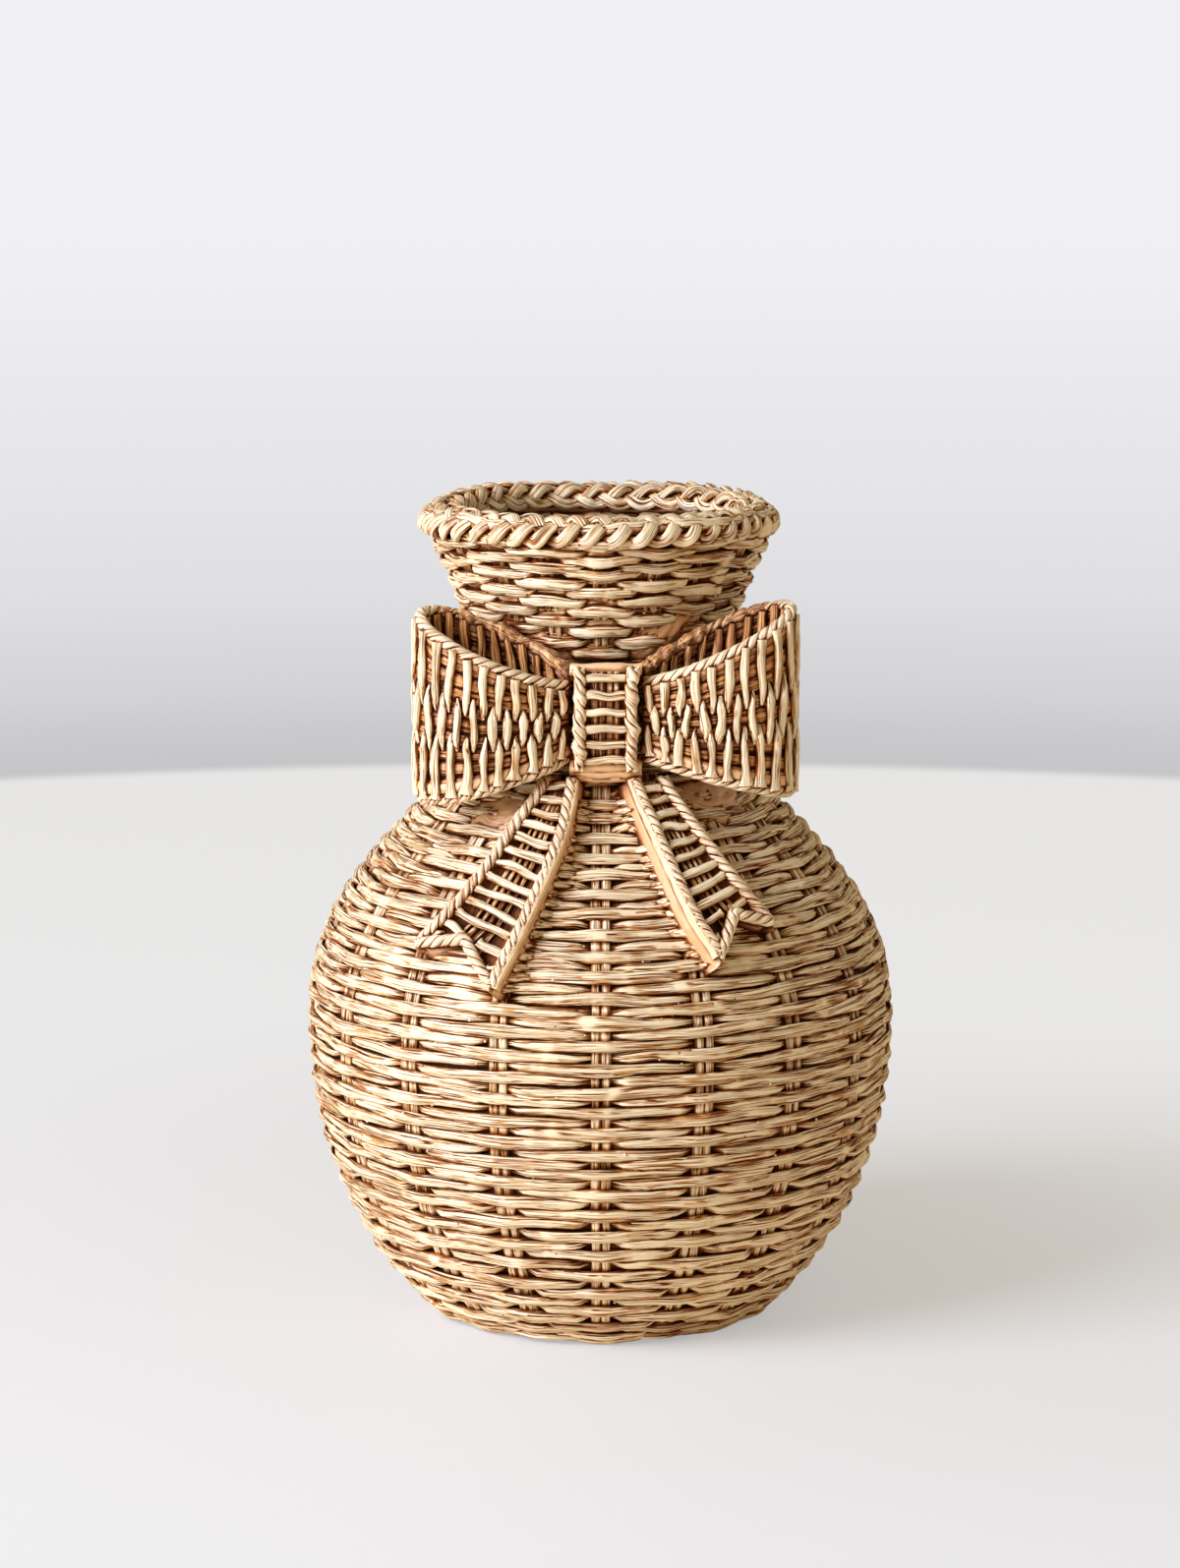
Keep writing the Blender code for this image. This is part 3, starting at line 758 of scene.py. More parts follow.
@dataclass(frozen=True)
class PaintedResin:
    """Cast resin with a straw base, cream crests and brown wash in its hollows, laid by how open
    each point is: partly real dry brushing and wash, partly painted light and painted shade.

    The wash starts where the hollow, the grain and chance hold wash_from, and hides the straw at
    wash_to. The darkest brown, painted deep shade that the pits share, does the same. The grain's
    scales are along, across and through a cane.
    """

    name: str
    # Cream crests: partly dry brushing, partly painted light. The darkest colour: painted deep shade, also
    # the pits.
    crest: Colour = paint(252, 239, 206)
    straw: Colour = paint(224, 173, 106)
    blush: Colour = paint(196, 132, 70)
    wash: Colour = paint(138, 68, 20)
    soot: Colour = paint(62, 24, 5)
    wash_from: float = 0.31
    wash_to: float = 0.62
    soot_from: float = 0.60
    soot_to: float = 0.88
    brush_reach: float = 0.16
    fibre: float = 1.0
    roughness: float = 0.38
    gloss: float = 0.95
    relief: float = 0.00040
    cane_apart: float = 173.0
    streak_scale: tuple[int, int, int] = (70, 1100, 1100)
    hair_scale: tuple[int, int, int] = (260, 4200, 4200)
    seams: tuple = (((24, 760, 760), 0.044, 0.42), ((46, 1500, 1500), 0.050, 0.36))
    streak_hold: float = 0.26
    hair_hold: float = 0.36
    patch_hold: float = 0.14

    def grain(self, graph: Graph, place: Socket) -> tuple[Socket, Socket, Socket]:
        """The fibres of the cane.

        Args:
            graph: the material's graph.
            place: the place on the vase.

        Returns:
            Broad streaks, fine hairs, and the seams between the cane's splits.
        """
        lay = graph.attribute("lay", "Vector")
        shift = {0: graph.product(graph.attribute("number"), self.cane_apart)}
        shift = graph.node("ShaderNodeCombineXYZ", shift).outputs[0]

        def drawn_out(scale: tuple[int, int, int], detail: float) -> Socket:
            """Noise drawn out along the cane."""
            where = graph.vector("ADD", graph.vector("MULTIPLY", lay, scale), shift)
            return graph.noise(where, 1.0, detail)

        lines = []
        for scale, width, amount in self.seams:
            away = graph.maths("ABSOLUTE", graph.less(drawn_out(scale, 1.0), 0.5))
            lines.append(graph.product(graph.smooth(away, width, 0.2 * width), amount * self.fibre))
        shown = graph.smooth(graph.noise(place, 120.0, 2.0), 0.25, 0.52)
        seams = graph.product(graph.total(*lines), shown)
        return drawn_out(self.streak_scale, 2.0), drawn_out(self.hair_scale, 2.0), seams

    def pits(self, graph: Graph, place: Socket) -> Socket:
        """Little casting pits, one here and there.

        Args:
            graph: the material's graph.
            place: the place on the vase.

        Returns:
            1 in a pit and 0 beside it.
        """
        cells = graph.node("ShaderNodeTexVoronoi", {"Vector": place, "Scale": 330.0})
        chance = graph.node("ShaderNodeSeparateColor", {0: cells.outputs["Color"]}).outputs[0]
        pit = graph.smooth(cells.outputs["Distance"], 0.13, 0.08)
        return graph.product(pit, graph.maths("GREATER_THAN", chance, 0.93))

    def material(self) -> Material:
        """Builds the finish.

        Returns:
            The material, which reads the attributes that every piece carries.
        """
        made, graph, shader = start_material(self.name, self.straw)
        place = graph.out("ShaderNodeTexCoord", "Object")
        streak, hair, seams = self.grain(graph, place)
        patch, speck = graph.noise(place, 55.0, 3.0), graph.noise(place, 900.0, 2.0)
        pit = self.pits(graph, place)
        # Wash and painted shade, from the hollow, the piece's extra, the streaks and chance
        wash_and_shade_held = graph.total(graph.attribute("cavity"), graph.attribute("stain"), seams)
        shares = (streak, self.streak_hold * self.fibre), (hair, self.hair_hold * self.fibre)
        for part, amount in (*shares, (patch, self.patch_hold)):
            wash_and_shade_held = graph.total(wash_and_shade_held, graph.product(graph.less(part, 0.5), amount))
        # Brown in the hollows: partly real wash, partly painted shade
        washed_and_shaded = graph.smooth(wash_and_shade_held, self.wash_from, self.wash_to)
        # Cream where the point is open: partly dry brushing, partly painted light
        brushed_and_lit = graph.smooth(wash_and_shade_held, self.wash_from, self.wash_from - self.brush_reach)
        # Darkest brown in the deepest hollows: painted shade
        deep_shade = graph.smooth(wash_and_shade_held, self.soot_from, self.soot_to)
        warmth = graph.total(patch, graph.product(graph.attribute("tone"), 0.3))
        colour = graph.mixed(graph.smooth(warmth, 0.55, 0.85), self.straw, self.blush)
        for share, coat in ((brushed_and_lit, self.crest), (washed_and_shaded, self.wash), (deep_shade, self.soot)):
            colour = graph.mixed(share, colour, coat)
        colour = graph.mixed(graph.product(pit, 0.10 + 0.75 * self.fibre), colour, self.soot)
        gloss = graph.product(graph.less(1.0, graph.product(washed_and_shaded, 0.85)), self.gloss)
        rough = graph.total(graph.product(graph.less(hair, 0.5), 0.35), graph.product(washed_and_shaded, 0.30))
        height = graph.total(streak, graph.product(hair, 0.55), graph.product(speck, 0.18))
        height = graph.less(graph.less(height, graph.product(pit, 1.2)), graph.product(seams, 1.7))
        bump = {"Height": height, "Distance": self.relief, "Strength": 0.9}
        graph.join(shader.inputs["Base Color"], colour)
        graph.join(shader.inputs["Specular IOR Level"], gloss)
        graph.join(shader.inputs["Roughness"], graph.maths("ADD", rough, self.roughness, clamp=True))
        graph.join(shader.inputs["Normal"], graph.node("ShaderNodeBump", bump).outputs[0])
        return made


@dataclass(frozen=True)
class Felt:
    """Dark felt glued under the base."""

    name: str = "felt"
    colour: Colour = paint(52, 47, 43)
    pale: Colour = paint(84, 77, 70)

    def material(self) -> Material:
        """Builds the finish.

        Returns:
            The material.
        """
        made, graph, shader = start_material(self.name, self.colour)
        place = graph.out("ShaderNodeTexCoord", "Object")
        nap, tuft = graph.noise(place, 1300.0, 4.0), graph.noise(place, 160.0, 3.0)
        share = graph.smooth(graph.product(nap, tuft), 0.12, 0.45)
        bump = graph.node("ShaderNodeBump", {"Height": nap, "Distance": 0.0003})
        graph.join(shader.inputs["Base Color"], graph.mixed(share, self.colour, self.pale))
        graph.join(shader.inputs["Roughness"], 0.95)
        graph.join(shader.inputs["Sheen Weight"], 0.3)
        graph.join(shader.inputs["Normal"], bump.outputs[0])
        return made


def finish_of(kind: PaintedResin | Felt) -> Material:
    """A field that holds a finish, built when the palette is made."""
    return field(default_factory=kind.material)


@dataclass
class Palette:
    """Every finish of the vase."""

    woven: Material = finish_of(PaintedResin("woven straw"))
    stake: Material = finish_of(
        PaintedResin("stake cane", wash_from=0.44, wash_to=0.86, soot_from=0.76, soot_to=1.1)
    )
    rope: Material = finish_of(
        PaintedResin(
            "pale rope", crest=paint(254, 238, 206), straw=paint(234, 194, 146),
            blush=paint(206, 150, 98), fibre=0.6, wash_from=0.30, wash_to=0.62,
        )
    )
    # Darker than the woven straw for canes behind the uprights and inner canes: partly painted shade.
    cross: Material = finish_of(
        PaintedResin(
            "cross cane", crest=paint(234, 174, 106), straw=paint(198, 130, 66),
            blush=paint(164, 98, 44), wash=paint(104, 50, 16), wash_from=0.32, wash_to=0.66,
        )
    )
    # Darker palette for backings seen through gaps: partly the wash there, partly painted shade.
    ground: Material = finish_of(
        PaintedResin(
            "washed ground", crest=paint(206, 150, 102), straw=paint(176, 120, 76),
            blush=paint(150, 96, 60), wash=paint(116, 66, 34), soot=paint(70, 34, 14),
            wash_from=0.26, wash_to=0.70, soot_from=0.62, soot_to=1.05,
        )
    )
    smooth: Material = finish_of(
        PaintedResin(
            "smooth tan resin", crest=paint(238, 200, 154), straw=paint(214, 164, 112),
            blush=paint(184, 126, 78), wash=paint(140, 78, 36), fibre=0.30, wash_from=0.26,
            wash_to=0.66, soot_from=0.62, soot_to=1.0, relief=0.00012,
        )
    )
    seam: Material = finish_of(
        PaintedResin(
            "brown seam resin", crest=paint(222, 168, 112), straw=paint(178, 120, 72),
            blush=paint(142, 86, 48), wash=paint(106, 56, 26), fibre=0.8, wash_from=0.24,
            wash_to=0.62,
        )
    )
    rail: Material = finish_of(
        PaintedResin(
            "worn cream resin", crest=paint(250, 222, 180), straw=paint(232, 186, 134),
            blush=paint(206, 148, 94), wash=paint(150, 90, 48), fibre=0.35,
        )
    )
    bead: Material = finish_of(
        PaintedResin(
            "resin bead", crest=paint(252, 240, 216), straw=paint(240, 212, 172), fibre=0.0,
            roughness=0.3,
        )
    )
    bare: Material = finish_of(
        PaintedResin(
            "bare resin", crest=paint(206, 172, 136), straw=paint(186, 148, 112),
            blush=paint(168, 126, 92), wash=paint(120, 84, 60), fibre=0.2, relief=0.0001,
        )
    )
    felt: Material = finish_of(Felt())


# Chance


class Chance:
    """Fixed chance: the same numbers in every run."""

    def __init__(self, seed: int) -> None:
        """Starts from a seed."""
        self.source = np.random.default_rng(seed)

    def near(self, middle: float, spread: float) -> float:
        """A number within a spread of the middle."""
        return float(middle + spread * self.source.uniform(-1, 1))

    def tone(self) -> float:
        """A cane's tone, from 0 to 1."""
        return self.near(0.5, 0.5)

    def wave(self, share: Array, turns: int = 5) -> Array:
        """A smooth wander of about one, which meets itself after a whole share.

        Args:
            share: where along the line it is wanted.
            turns: how many waves the finest part of it has.

        Returns:
            The wander at each share.
        """
        total = np.zeros_like(share)
        for turn in range(1, turns + 1):
            strength = self.source.normal() / turns**0.5
            total += strength * np.cos(FULL_TURN * (turn * share + self.source.uniform()))
        return total

    def knots(self, place: Array, count: int) -> Array:
        """A smooth line through random values, one for each whole place.

        Args:
            place: where it is wanted.
            count: after how many places it repeats.

        Returns:
            Its value from -1 to 1 at each place.
        """
        values = self.source.uniform(-1, 1, count + 2)
        low = np.floor(place).astype(int)
        part = (1 - np.cos(math.pi * (place - low))) / 2
        return values[low % count] * (1 - part) + values[(low + 1) % count] * part

    def steps(self, place: Array, count: int) -> Array:
        """Random tones that hold for a stretch and blend into the next.

        Args:
            place: where they are wanted.
            count: how many stretches there are.

        Returns:
            The tone from 0 to 1 at each place.
        """
        tones = self.source.uniform(0, 1, count + 2)
        low = np.clip(np.floor(place).astype(int), 0, count)
        part = np.clip((place - low - 0.5) * 4 + 0.5, 0, 1)
        return tones[low] * (1 - part) + tones[low + 1] * part


# Basket weave


@dataclass
class Basket:
    """The woven body: cane rows that ride over one stake pair and under the next.

    A depth is counted inwards from the crest. The inner fields are those of the rows inside the
    collar, and wander and stray say how far things lie off their true places. Stakes have their
    foot, their top, their depth and their share of the usual width.
    """

    shop: Workshop
    finishes: Palette
    over_heights: tuple[float, ...] = (
        0.0008, 0.0027, 0.0064, 0.0126, 0.0187, 0.0250, 0.0318, 0.0382, 0.0449, 0.0512, 0.0574,
        0.0628, 0.0693, 0.0752, 0.0811, 0.0874, 0.0939, 0.1001, 0.1063, 0.1123, 0.1174, 0.1229,
        0.1279, 0.1327, 0.1372, 0.1412, 0.1458, 0.1506, 0.1544, 0.1601, 0.1654, 0.1704, 0.1753,
        0.1810, 0.1872, 0.1939, 0.2000, 0.2058, 0.2110, 0.2163, 0.2205, 0.2250,
    )
    bands: tuple[tuple[str, str, float, float], ...] = (
        ("belly", "_foot", 0.0, 0.034),
        ("belly", "_lower", 0.034, 0.065),
        ("belly", "_middle", 0.065, 0.096),
        ("belly", "_upper", 0.096, 0.130),
        ("belly", "_shoulder", 0.130, FORM.waist_height),
        ("collar", "", FORM.waist_height, 1.0),
    )
    step: float = 0.0018
    collar_step: float = 0.8
    pitch: float = 0.0032
    over_depth: float = 0.00125
    middle_depth: float = 0.00195
    under_depth: float = 0.0041
    collar_under_depth: float = 0.0050
    dive_from: float = 0.0024
    dive_to: float = 0.0068
    full_half_bay: float = 0.0075
    swell_reach: float = 0.010
    half_width: float = 0.00144
    over_gain: float = 0.00016
    under_loss: float = 0.00056
    half_height: float = 0.00148
    bay_wander: float = 0.00052
    stake_wander: float = 0.00016
    collar_wander: float = 0.00055
    wander: float = 0.00024
    steady_height: float = 0.006
    lowest: float = 0.0007
    foot_reach: float = 0.0017
    foot_top: float = 0.0045
    collar_stain: float = -0.05
    splint_half: float = 0.00052
    splint_lift: float = 0.00042
    splint_stray: float = 0.00034
    splint_stain: float = -0.04
    inner_depth: float = 0.0042
    inner_swell: float = 0.0016
    inner_crest: float = -0.4
    inner_pitch: float = 0.0034
    inner_room: float = 1.35
    inner_reach: tuple[float, float] = (FORM.waist_height - 0.004, 0.2300)
    stake_half_gap: float = 0.00143
    stake_half_width: float = 0.00134
    stake_half_height: float = 0.00105
    stake_stray: float = 0.00012
    belly_stakes: tuple[float, ...] = (0.0012, FORM.waist_height, 0.00262, 1.0)
    collar_stakes: tuple[float, ...] = (FORM.waist_height, 0.2262, 0.0033, 0.84)
    wall_sides: int = 144
    core_half: float = 0.0005
    core_reach: tuple[float, float] = (FORM.waist_height - 0.001, 0.2290)
    pot_foot: float = 0.0046
    pot_depths: tuple[float, float] = (0.0030, 0.0077)
    belly_sweep: SweepSizes = SweepSizes(14, 0.00034, 3.0, 22.0, 0.00016, 0.45)
    collar_sweep: SweepSizes = SweepSizes(14, 0.00032, 2.6, 40.0, 0.00022, 0.0)
    splint_sweep: SweepSizes = SweepSizes(sides=6, groove_depth=0.00006, lump_size=0.0001)
    stake_sweep: SweepSizes = SweepSizes(groove_depth=0.00022, grooves_across=2.4)
    seed: int = 7

    @staticmethod
    def heights_of_rows(over_heights: Sequence[float]) -> Array:
        """Heights of all rows; the even ones ride over the front stake.

        Args:
            over_heights: the heights of the even rows.

        Returns:
            The heights, from the foot up.
        """
        over = np.array(over_heights)
        rows = np.empty(2 * len(over) - 1)
        rows[0::2], rows[1::2] = over, (over[:-1] + over[1:]) / 2
        return rows

    def crowding(self, rows: Array) -> Array:
        """How wide each row's room is, as a share of the usual pitch."""
        run = np.hypot(np.gradient(rows), np.gradient(FORM.crest(rows)))
        return 0.45 + 0.55 * run / self.pitch

    def row(self, index: int, height: float, room: float, chance: Chance, inner: bool = False) -> Strand:
        """One row round the vase, from a stake at the back that it passes under.

        Args:
            index: the row's number from the foot, even where it rides over the front stake.
            height: its height on the crest.
            room: its share of the usual width.
            chance: the source of its small faults.
            inner: whether it is the inner face of a collar row.

        Returns:
            The strand.
        """
        collar = height > FORM.waist_height
        radius, bay = FORM.radius(height), FULL_TURN / FORM.stakes
        half_bay = bay * radius / 2
        count = int(FULL_TURN * radius / (self.step * (self.collar_step if collar else 1.0)))
        share = np.linspace(0, 1, count)
        start = FORM.stakes // 2 + (0 if (index + FORM.stakes // 2) % 2 else 1)
        angle = start * bay + share * FULL_TURN
        stake = angle / bay
        nearest = np.round(stake)
        over = (nearest + index) % 2 < 0.5
        away = np.abs(stake - nearest) * 2 * half_bay
        dive_from = self.dive_from * min(1.0, half_bay / self.full_half_bay)
        dive = 1 - ease(away, dive_from, min(self.dive_to, half_bay))
        if inner:
            depth = self.inner_depth + np.where(over, self.inner_crest, 1.0) * self.inner_swell * dive
        else:
            swell = 1 - ease(away, 0.0, min(self.swell_reach, half_bay))
            deep = self.collar_under_depth if collar else self.under_depth
            rise = (self.over_depth - self.middle_depth) * swell
            depth = self.middle_depth + np.where(over, rise, (deep - self.middle_depth) * dive)
        depth = depth - self.wander * 0.5 * chance.wave(share, 9)
        lean = self.wander * chance.wave(share, 7)
        bays = chance.knots(stake * 2, 4 * FORM.stakes)
        stray = self.collar_wander if collar else self.stake_wander
        lean = lean + bays * (stray + (self.bay_wander - stray) * (away / half_bay) ** 0.7)
        freedom = float(np.clip(height / self.steady_height, 0.0, 1.0))
        heights = np.maximum(height + lean * freedom, self.lowest)
        nearness = 0.5 + 0.5 * np.cos(math.pi * away / half_bay)
        wide = self.half_width + np.where(over, self.over_gain, -self.under_loss) * nearness
        wide = wide * room * (1 + 0.07 * chance.wave(share, 14))
        points = FORM.place(angle, heights, -depth)
        reach = np.hypot(points[:, 0], points[:, 1])
        spread = self.foot_reach * max(0.0, 1 - height / self.foot_top)
        points[:, :2] *= ((reach + spread) / reach)[:, None]
        points[:, 2] = np.maximum(points[:, 2], self.half_width * 1.12)
        facing = FORM.square_to(angle, heights) * (-1 if inner else 1)
        tall = self.half_height * (1 + 0.05 * chance.wave(share, 8))
        tone = chance.steps(share * FORM.stakes + chance.near(1, 1), FORM.stakes + 2)
        return Strand(points, facing, wide, tall, tone, self.collar_stain if collar else 0.0)

    def splint(self, row: Strand, side: int, chance: Chance) -> Strand:
        """A thin split of cane that strays along one edge of a row, in the gap beside it.

        Args:
            row: the row.
            side: 1 for its upper edge, or -1 for its lower one.
            chance: the source of its small faults.

        Returns:
            The splint.
        """
        points, outward, wide = row.points[::2], row.outward[::2], row.half_width[::2]
        aside = np.cross(outward, unit(np.gradient(points, axis=0))) * side
        share = np.linspace(0, 1, len(points))
        stray = chance.knots(share * 3 * FORM.stakes, 3 * FORM.stakes + 2)
        sunk = chance.knots(share * 2 * FORM.stakes, 2 * FORM.stakes + 2)
        out = wide * (0.80 + 0.22 * stray)
        lift = self.splint_lift + self.splint_stray * sunk
        points = points + aside * out[:, None] + outward * lift[:, None]
        points[:, 2] = np.maximum(points[:, 2], self.splint_half * 1.2)
        thin = self.splint_half * (1 + 0.18 * chance.wave(share, 22))
        return Strand(points, outward, thin, thin, chance.tone(), self.splint_stain)

    def stake_rods(self, low: float, high: float, depth: float, narrow: float) -> list[Strand]:
        """Both rods of every stake between two heights.

        Args:
            low: the lower height.
            high: the upper height.
            depth: how deep the rods lie.
            narrow: their share of the usual width and gap.

        Returns:
            The rods.
        """
        chance = Chance(self.seed + 1)
        heights, arc = FORM.arc(low, high, 300)
        count = int(arc[-1] / self.step)
        even = np.interp(np.linspace(0, arc[-1], count), arc, heights)
        share = np.linspace(0, 1, count)
        rods = []
        for stake in range(FORM.stakes):
            for side in (-1, 1):
                gap = self.stake_half_gap * narrow * (1 + 0.05 * chance.wave(share, 6))
                angle = stake * FULL_TURN / FORM.stakes + side * gap / FORM.crest(even)
                points = FORM.place(angle, even, -depth + self.stake_stray * chance.wave(share, 14))
                wide = self.stake_half_width * narrow * (1 + 0.08 * chance.wave(share, 16))
                facing = FORM.square_to(angle, even)
                rods.append(Strand(points, facing, wide, self.stake_half_height, chance.tone()))
        return rods

    def shell(self, name: str, outer: float, inner: float, heights: Array) -> Mesh:
        """A wall between two depths, closed at both ends.

        Args:
            name: the mesh's name.
            outer: the depth of its outer face.
            inner: the depth of its inner face.
            heights: where its rings of points lie.

        Returns:
            The mesh.
        """
        turn = np.linspace(0, FULL_TURN, self.wall_sides, endpoint=False)
        places = [(height, outer) for height in heights] + [(height, inner) for height in heights[::-1]]
        rings = [FORM.place(turn, np.full(len(turn), height), -depth) for height, depth in places]
        return grid_mesh(name, np.array(rings), closed=True)

    def build(self) -> None:
        """Makes the rows, the stakes and what backs them."""
        chance = Chance(self.seed)
        rows = self.heights_of_rows(self.over_heights)
        rooms = self.crowding(rows)
        strands = [(h, self.row(i, float(h), float(rooms[i]), chance)) for i, h in enumerate(rows)]
        woven, stake, ground = self.finishes.woven, self.finishes.stake, self.finishes.ground
        for part, word, low, high in self.bands:
            nodes, sizes = [f"{part}_weave"], self.collar_sweep if part == "collar" else self.belly_sweep
            some = [item for height, item in strands if low <= height < high]
            splints = [self.splint(item, side, chance) for item in some for side in (1, -1)]
            self.shop.canes(f"{part}_rows{word}", some, woven, nodes, sizes)
            self.shop.canes(f"{part}_splints{word}", splints, woven, nodes, self.splint_sweep)
        heights = np.arange(*self.inner_reach, self.inner_pitch)
        inside = [self.row(i, float(h), self.inner_room, chance, True) for i, h in enumerate(heights)]
        belly, collar = ["belly_weave"], ["collar_weave"]
        self.shop.canes("collar_inner_rows", inside, woven, collar, self.collar_sweep)
        rods = self.stake_rods(*self.belly_stakes)
        self.shop.canes("belly_stakes", rods, stake, belly, self.stake_sweep)
        rods = self.stake_rods(*self.collar_stakes)
        self.shop.canes("collar_stakes", rods, stake, collar, self.stake_sweep)
        middle, heights = self.collar_stakes[2], np.linspace(*self.core_reach, 40)
        core = self.shell("collar_core", middle - self.core_half, middle + self.core_half, heights)
        self.shop.keep("collar_core", core, ground, collar)
        heights = self.pot_foot + (FORM.waist_height - self.pot_foot) * np.linspace(0, 1, 70) ** 1.5
        pot = self.shell("pot_liner", *self.pot_depths, heights)
        self.shop.keep("pot_liner", pot, ground, ["inner_pot"], Slot.BARE)


# Rim


@dataclass(frozen=True)
class Plait:
    """One face of the rim's plait: where it faces, how it swings, how thick its strands are."""

    name: str
    lean: float
    periods: int
    sweep: float
    wrap: float
    rise: float
    bias: float
    half_width: float
    half_height: float
    stain: float
    seed: int


# The inner face's last number but one, 0.10, is extra brown: painted shade inside the mouth.
PLAITS = (
    Plait("rim_strands", 34.0, 15, 0.0034, 0.0048, 0.0010, 0.0006, 0.00190, 0.00140, 0.0, 31),
    Plait("rim_inner_strands", 148.0, 11, 0.0024, 0.0046, 0.0008, 0.0006, 0.00178, 0.00120, 0.10, 33),
)


@dataclass
class Rim:
    """The plaited rim: three strands that cross round the mouth, outside and again inside."""

    shop: Workshop
    finishes: Palette
    radius: float = 0.0480
    height: float = 0.2296
    outer_lean: float = math.radians(34)
    core_wrap: float = 0.0042
    core_half_width: float = 0.00342
    core_half_height: float = 0.00306
    wobble: float = 0.0004
    back_rise: float = 0.0008
    points: int = 900
    sweep: SweepSizes = SweepSizes(16, 0.00024, 2.8, lump_size=0.00030, outer_focus=0.2)
    seed: int = 30

    def middle(self, wrap: float) -> tuple[float, float]:
        """Radius and height of the line that strands swing round at a distance."""
        lean = self.outer_lean
        return self.radius - wrap * math.cos(lean), self.height - wrap * math.sin(lean)

    def plait(self, face: Plait, angle: Array, wobble: Array, lift: Array) -> list[Strand]:
        """The three strands of one face.

        Args:
            face: the face's sizes.
            angle: angles round the mouth.
            wobble: how far the rim strays outwards at each of them.
            lift: how far it strays upwards.

        Returns:
            The strands.
        """
        chance = Chance(face.seed)
        share = angle / FULL_TURN
        within, level = self.middle(face.wrap)
        drift = 0.16 * chance.wave(share, 9)
        strands = []
        for number in range(3):
            phase = FULL_TURN * (face.periods * share + number / 3) + drift
            phase = phase + 0.05 * chance.wave(share, 30)
            bend = math.radians(face.lean) + face.sweep * np.sin(phase) / face.wrap
            far = face.wrap + face.bias * np.cos(phase) - face.rise * np.sin(2 * phase)
            radius, height = within + wobble + far * np.cos(bend), level + lift + far * np.sin(bend)
            facing = around(angle, np.cos(bend), np.sin(bend))
            wide = face.half_width * (1 + 0.09 * chance.wave(share, 40))
            tones = chance.steps(share * 46, 46)
            points = around(angle, radius, height)
            strands.append(Strand(points, facing, wide, face.half_height, tones, face.stain))
        return strands

    def build(self) -> None:
        """Makes both faces and the core that they lie on."""
        nodes = ["rim_braid"]
        angle = np.linspace(0, FULL_TURN, self.points)
        wobble = self.wobble * (Chance(self.seed).wave(angle / FULL_TURN, 5) - 1.2 * np.sin(angle))
        behind = np.clip(-np.cos(angle), 0, 1)
        lift = self.back_rise * (behind + 1.2 * np.sin(2 * angle) ** 2 * np.sqrt(behind))
        for face in PLAITS:
            strands = self.plait(face, angle, wobble, lift)
            self.shop.canes(face.name, strands, self.finishes.woven, nodes, self.sweep, Slot.PALE)
        within, level = self.middle(self.core_wrap)
        ring, facing = around(angle, within, level + lift), around(angle, 1.0, 0.0)
        core = Strand(ring[::3], facing[::3], self.core_half_width, self.core_half_height)
        self.shop.canes("rim_core", [core], self.finishes.ground, nodes, slot=Slot.PALE)


# Ropes


@dataclass(frozen=True)
class Rope:
    """A laid rope of three strands.

    The swell says how far out its strands lie and the fullness how thick they are, as shares of its
    radius. The flatness is a strand's width as a share of its thickness.
    """

    radius: float = 0.00160
    strands: int = 3
    lay: float = 0.0092
    step: float = 0.0006
    swell: float = 0.50
    fullness: float = 0.55
    flatness: float = 1.12

    def wind(self, route: Array, upward: Array, chance: Chance, stain: Array | float = 0.0) -> list[Strand]:
        """The strands of a rope.

        Args:
            route: the rope's middle line.
            upward: the direction that its roll is counted from.
            chance: the source of its small faults.
            stain: extra wash along the route, as one number or one for each point.

        Returns:
            One strand for each of the rope's strands.
        """
        arc = arc_lengths(route)
        even = np.linspace(0, arc[-1], max(int(arc[-1] / self.step), 8))

        def spaced(values: Array) -> Array:
            """Rows of values along the route, at even spaces."""
            return np.stack([np.interp(even, arc, column) for column in values.T], axis=1)

        line = spaced(route)
        forward = unit(np.gradient(line, axis=0))
        aside = unit(np.cross(forward, spaced(np.broadcast_to(upward, route.shape))))
        over = np.cross(aside, forward)
        stains = np.interp(even, arc, np.broadcast_to(stain, arc.shape))
        made = []
        for number in range(self.strands):
            phase = FULL_TURN * even / self.lay + FULL_TURN * number / self.strands
            way = aside * np.cos(phase)[:, None] + over * np.sin(phase)[:, None]
            thick = self.radius * self.fullness * (1 + 0.06 * chance.wave(even / even[-1], 15))
            points = line + way * self.radius * self.swell
            made.append(Strand(points, way, thick * self.flatness, thick, chance.tone(), stains))
        return made


# Bow


@dataclass(frozen=True)
class LoopShape:
    """One loop's reach and heights, above the waist or below it if negative."""

    name: str
    side: int
    root_top: float
    turn_top: float
    top_tilt: float
    root_bottom: float
    turn_bottom: float
    bottom_tilt: float


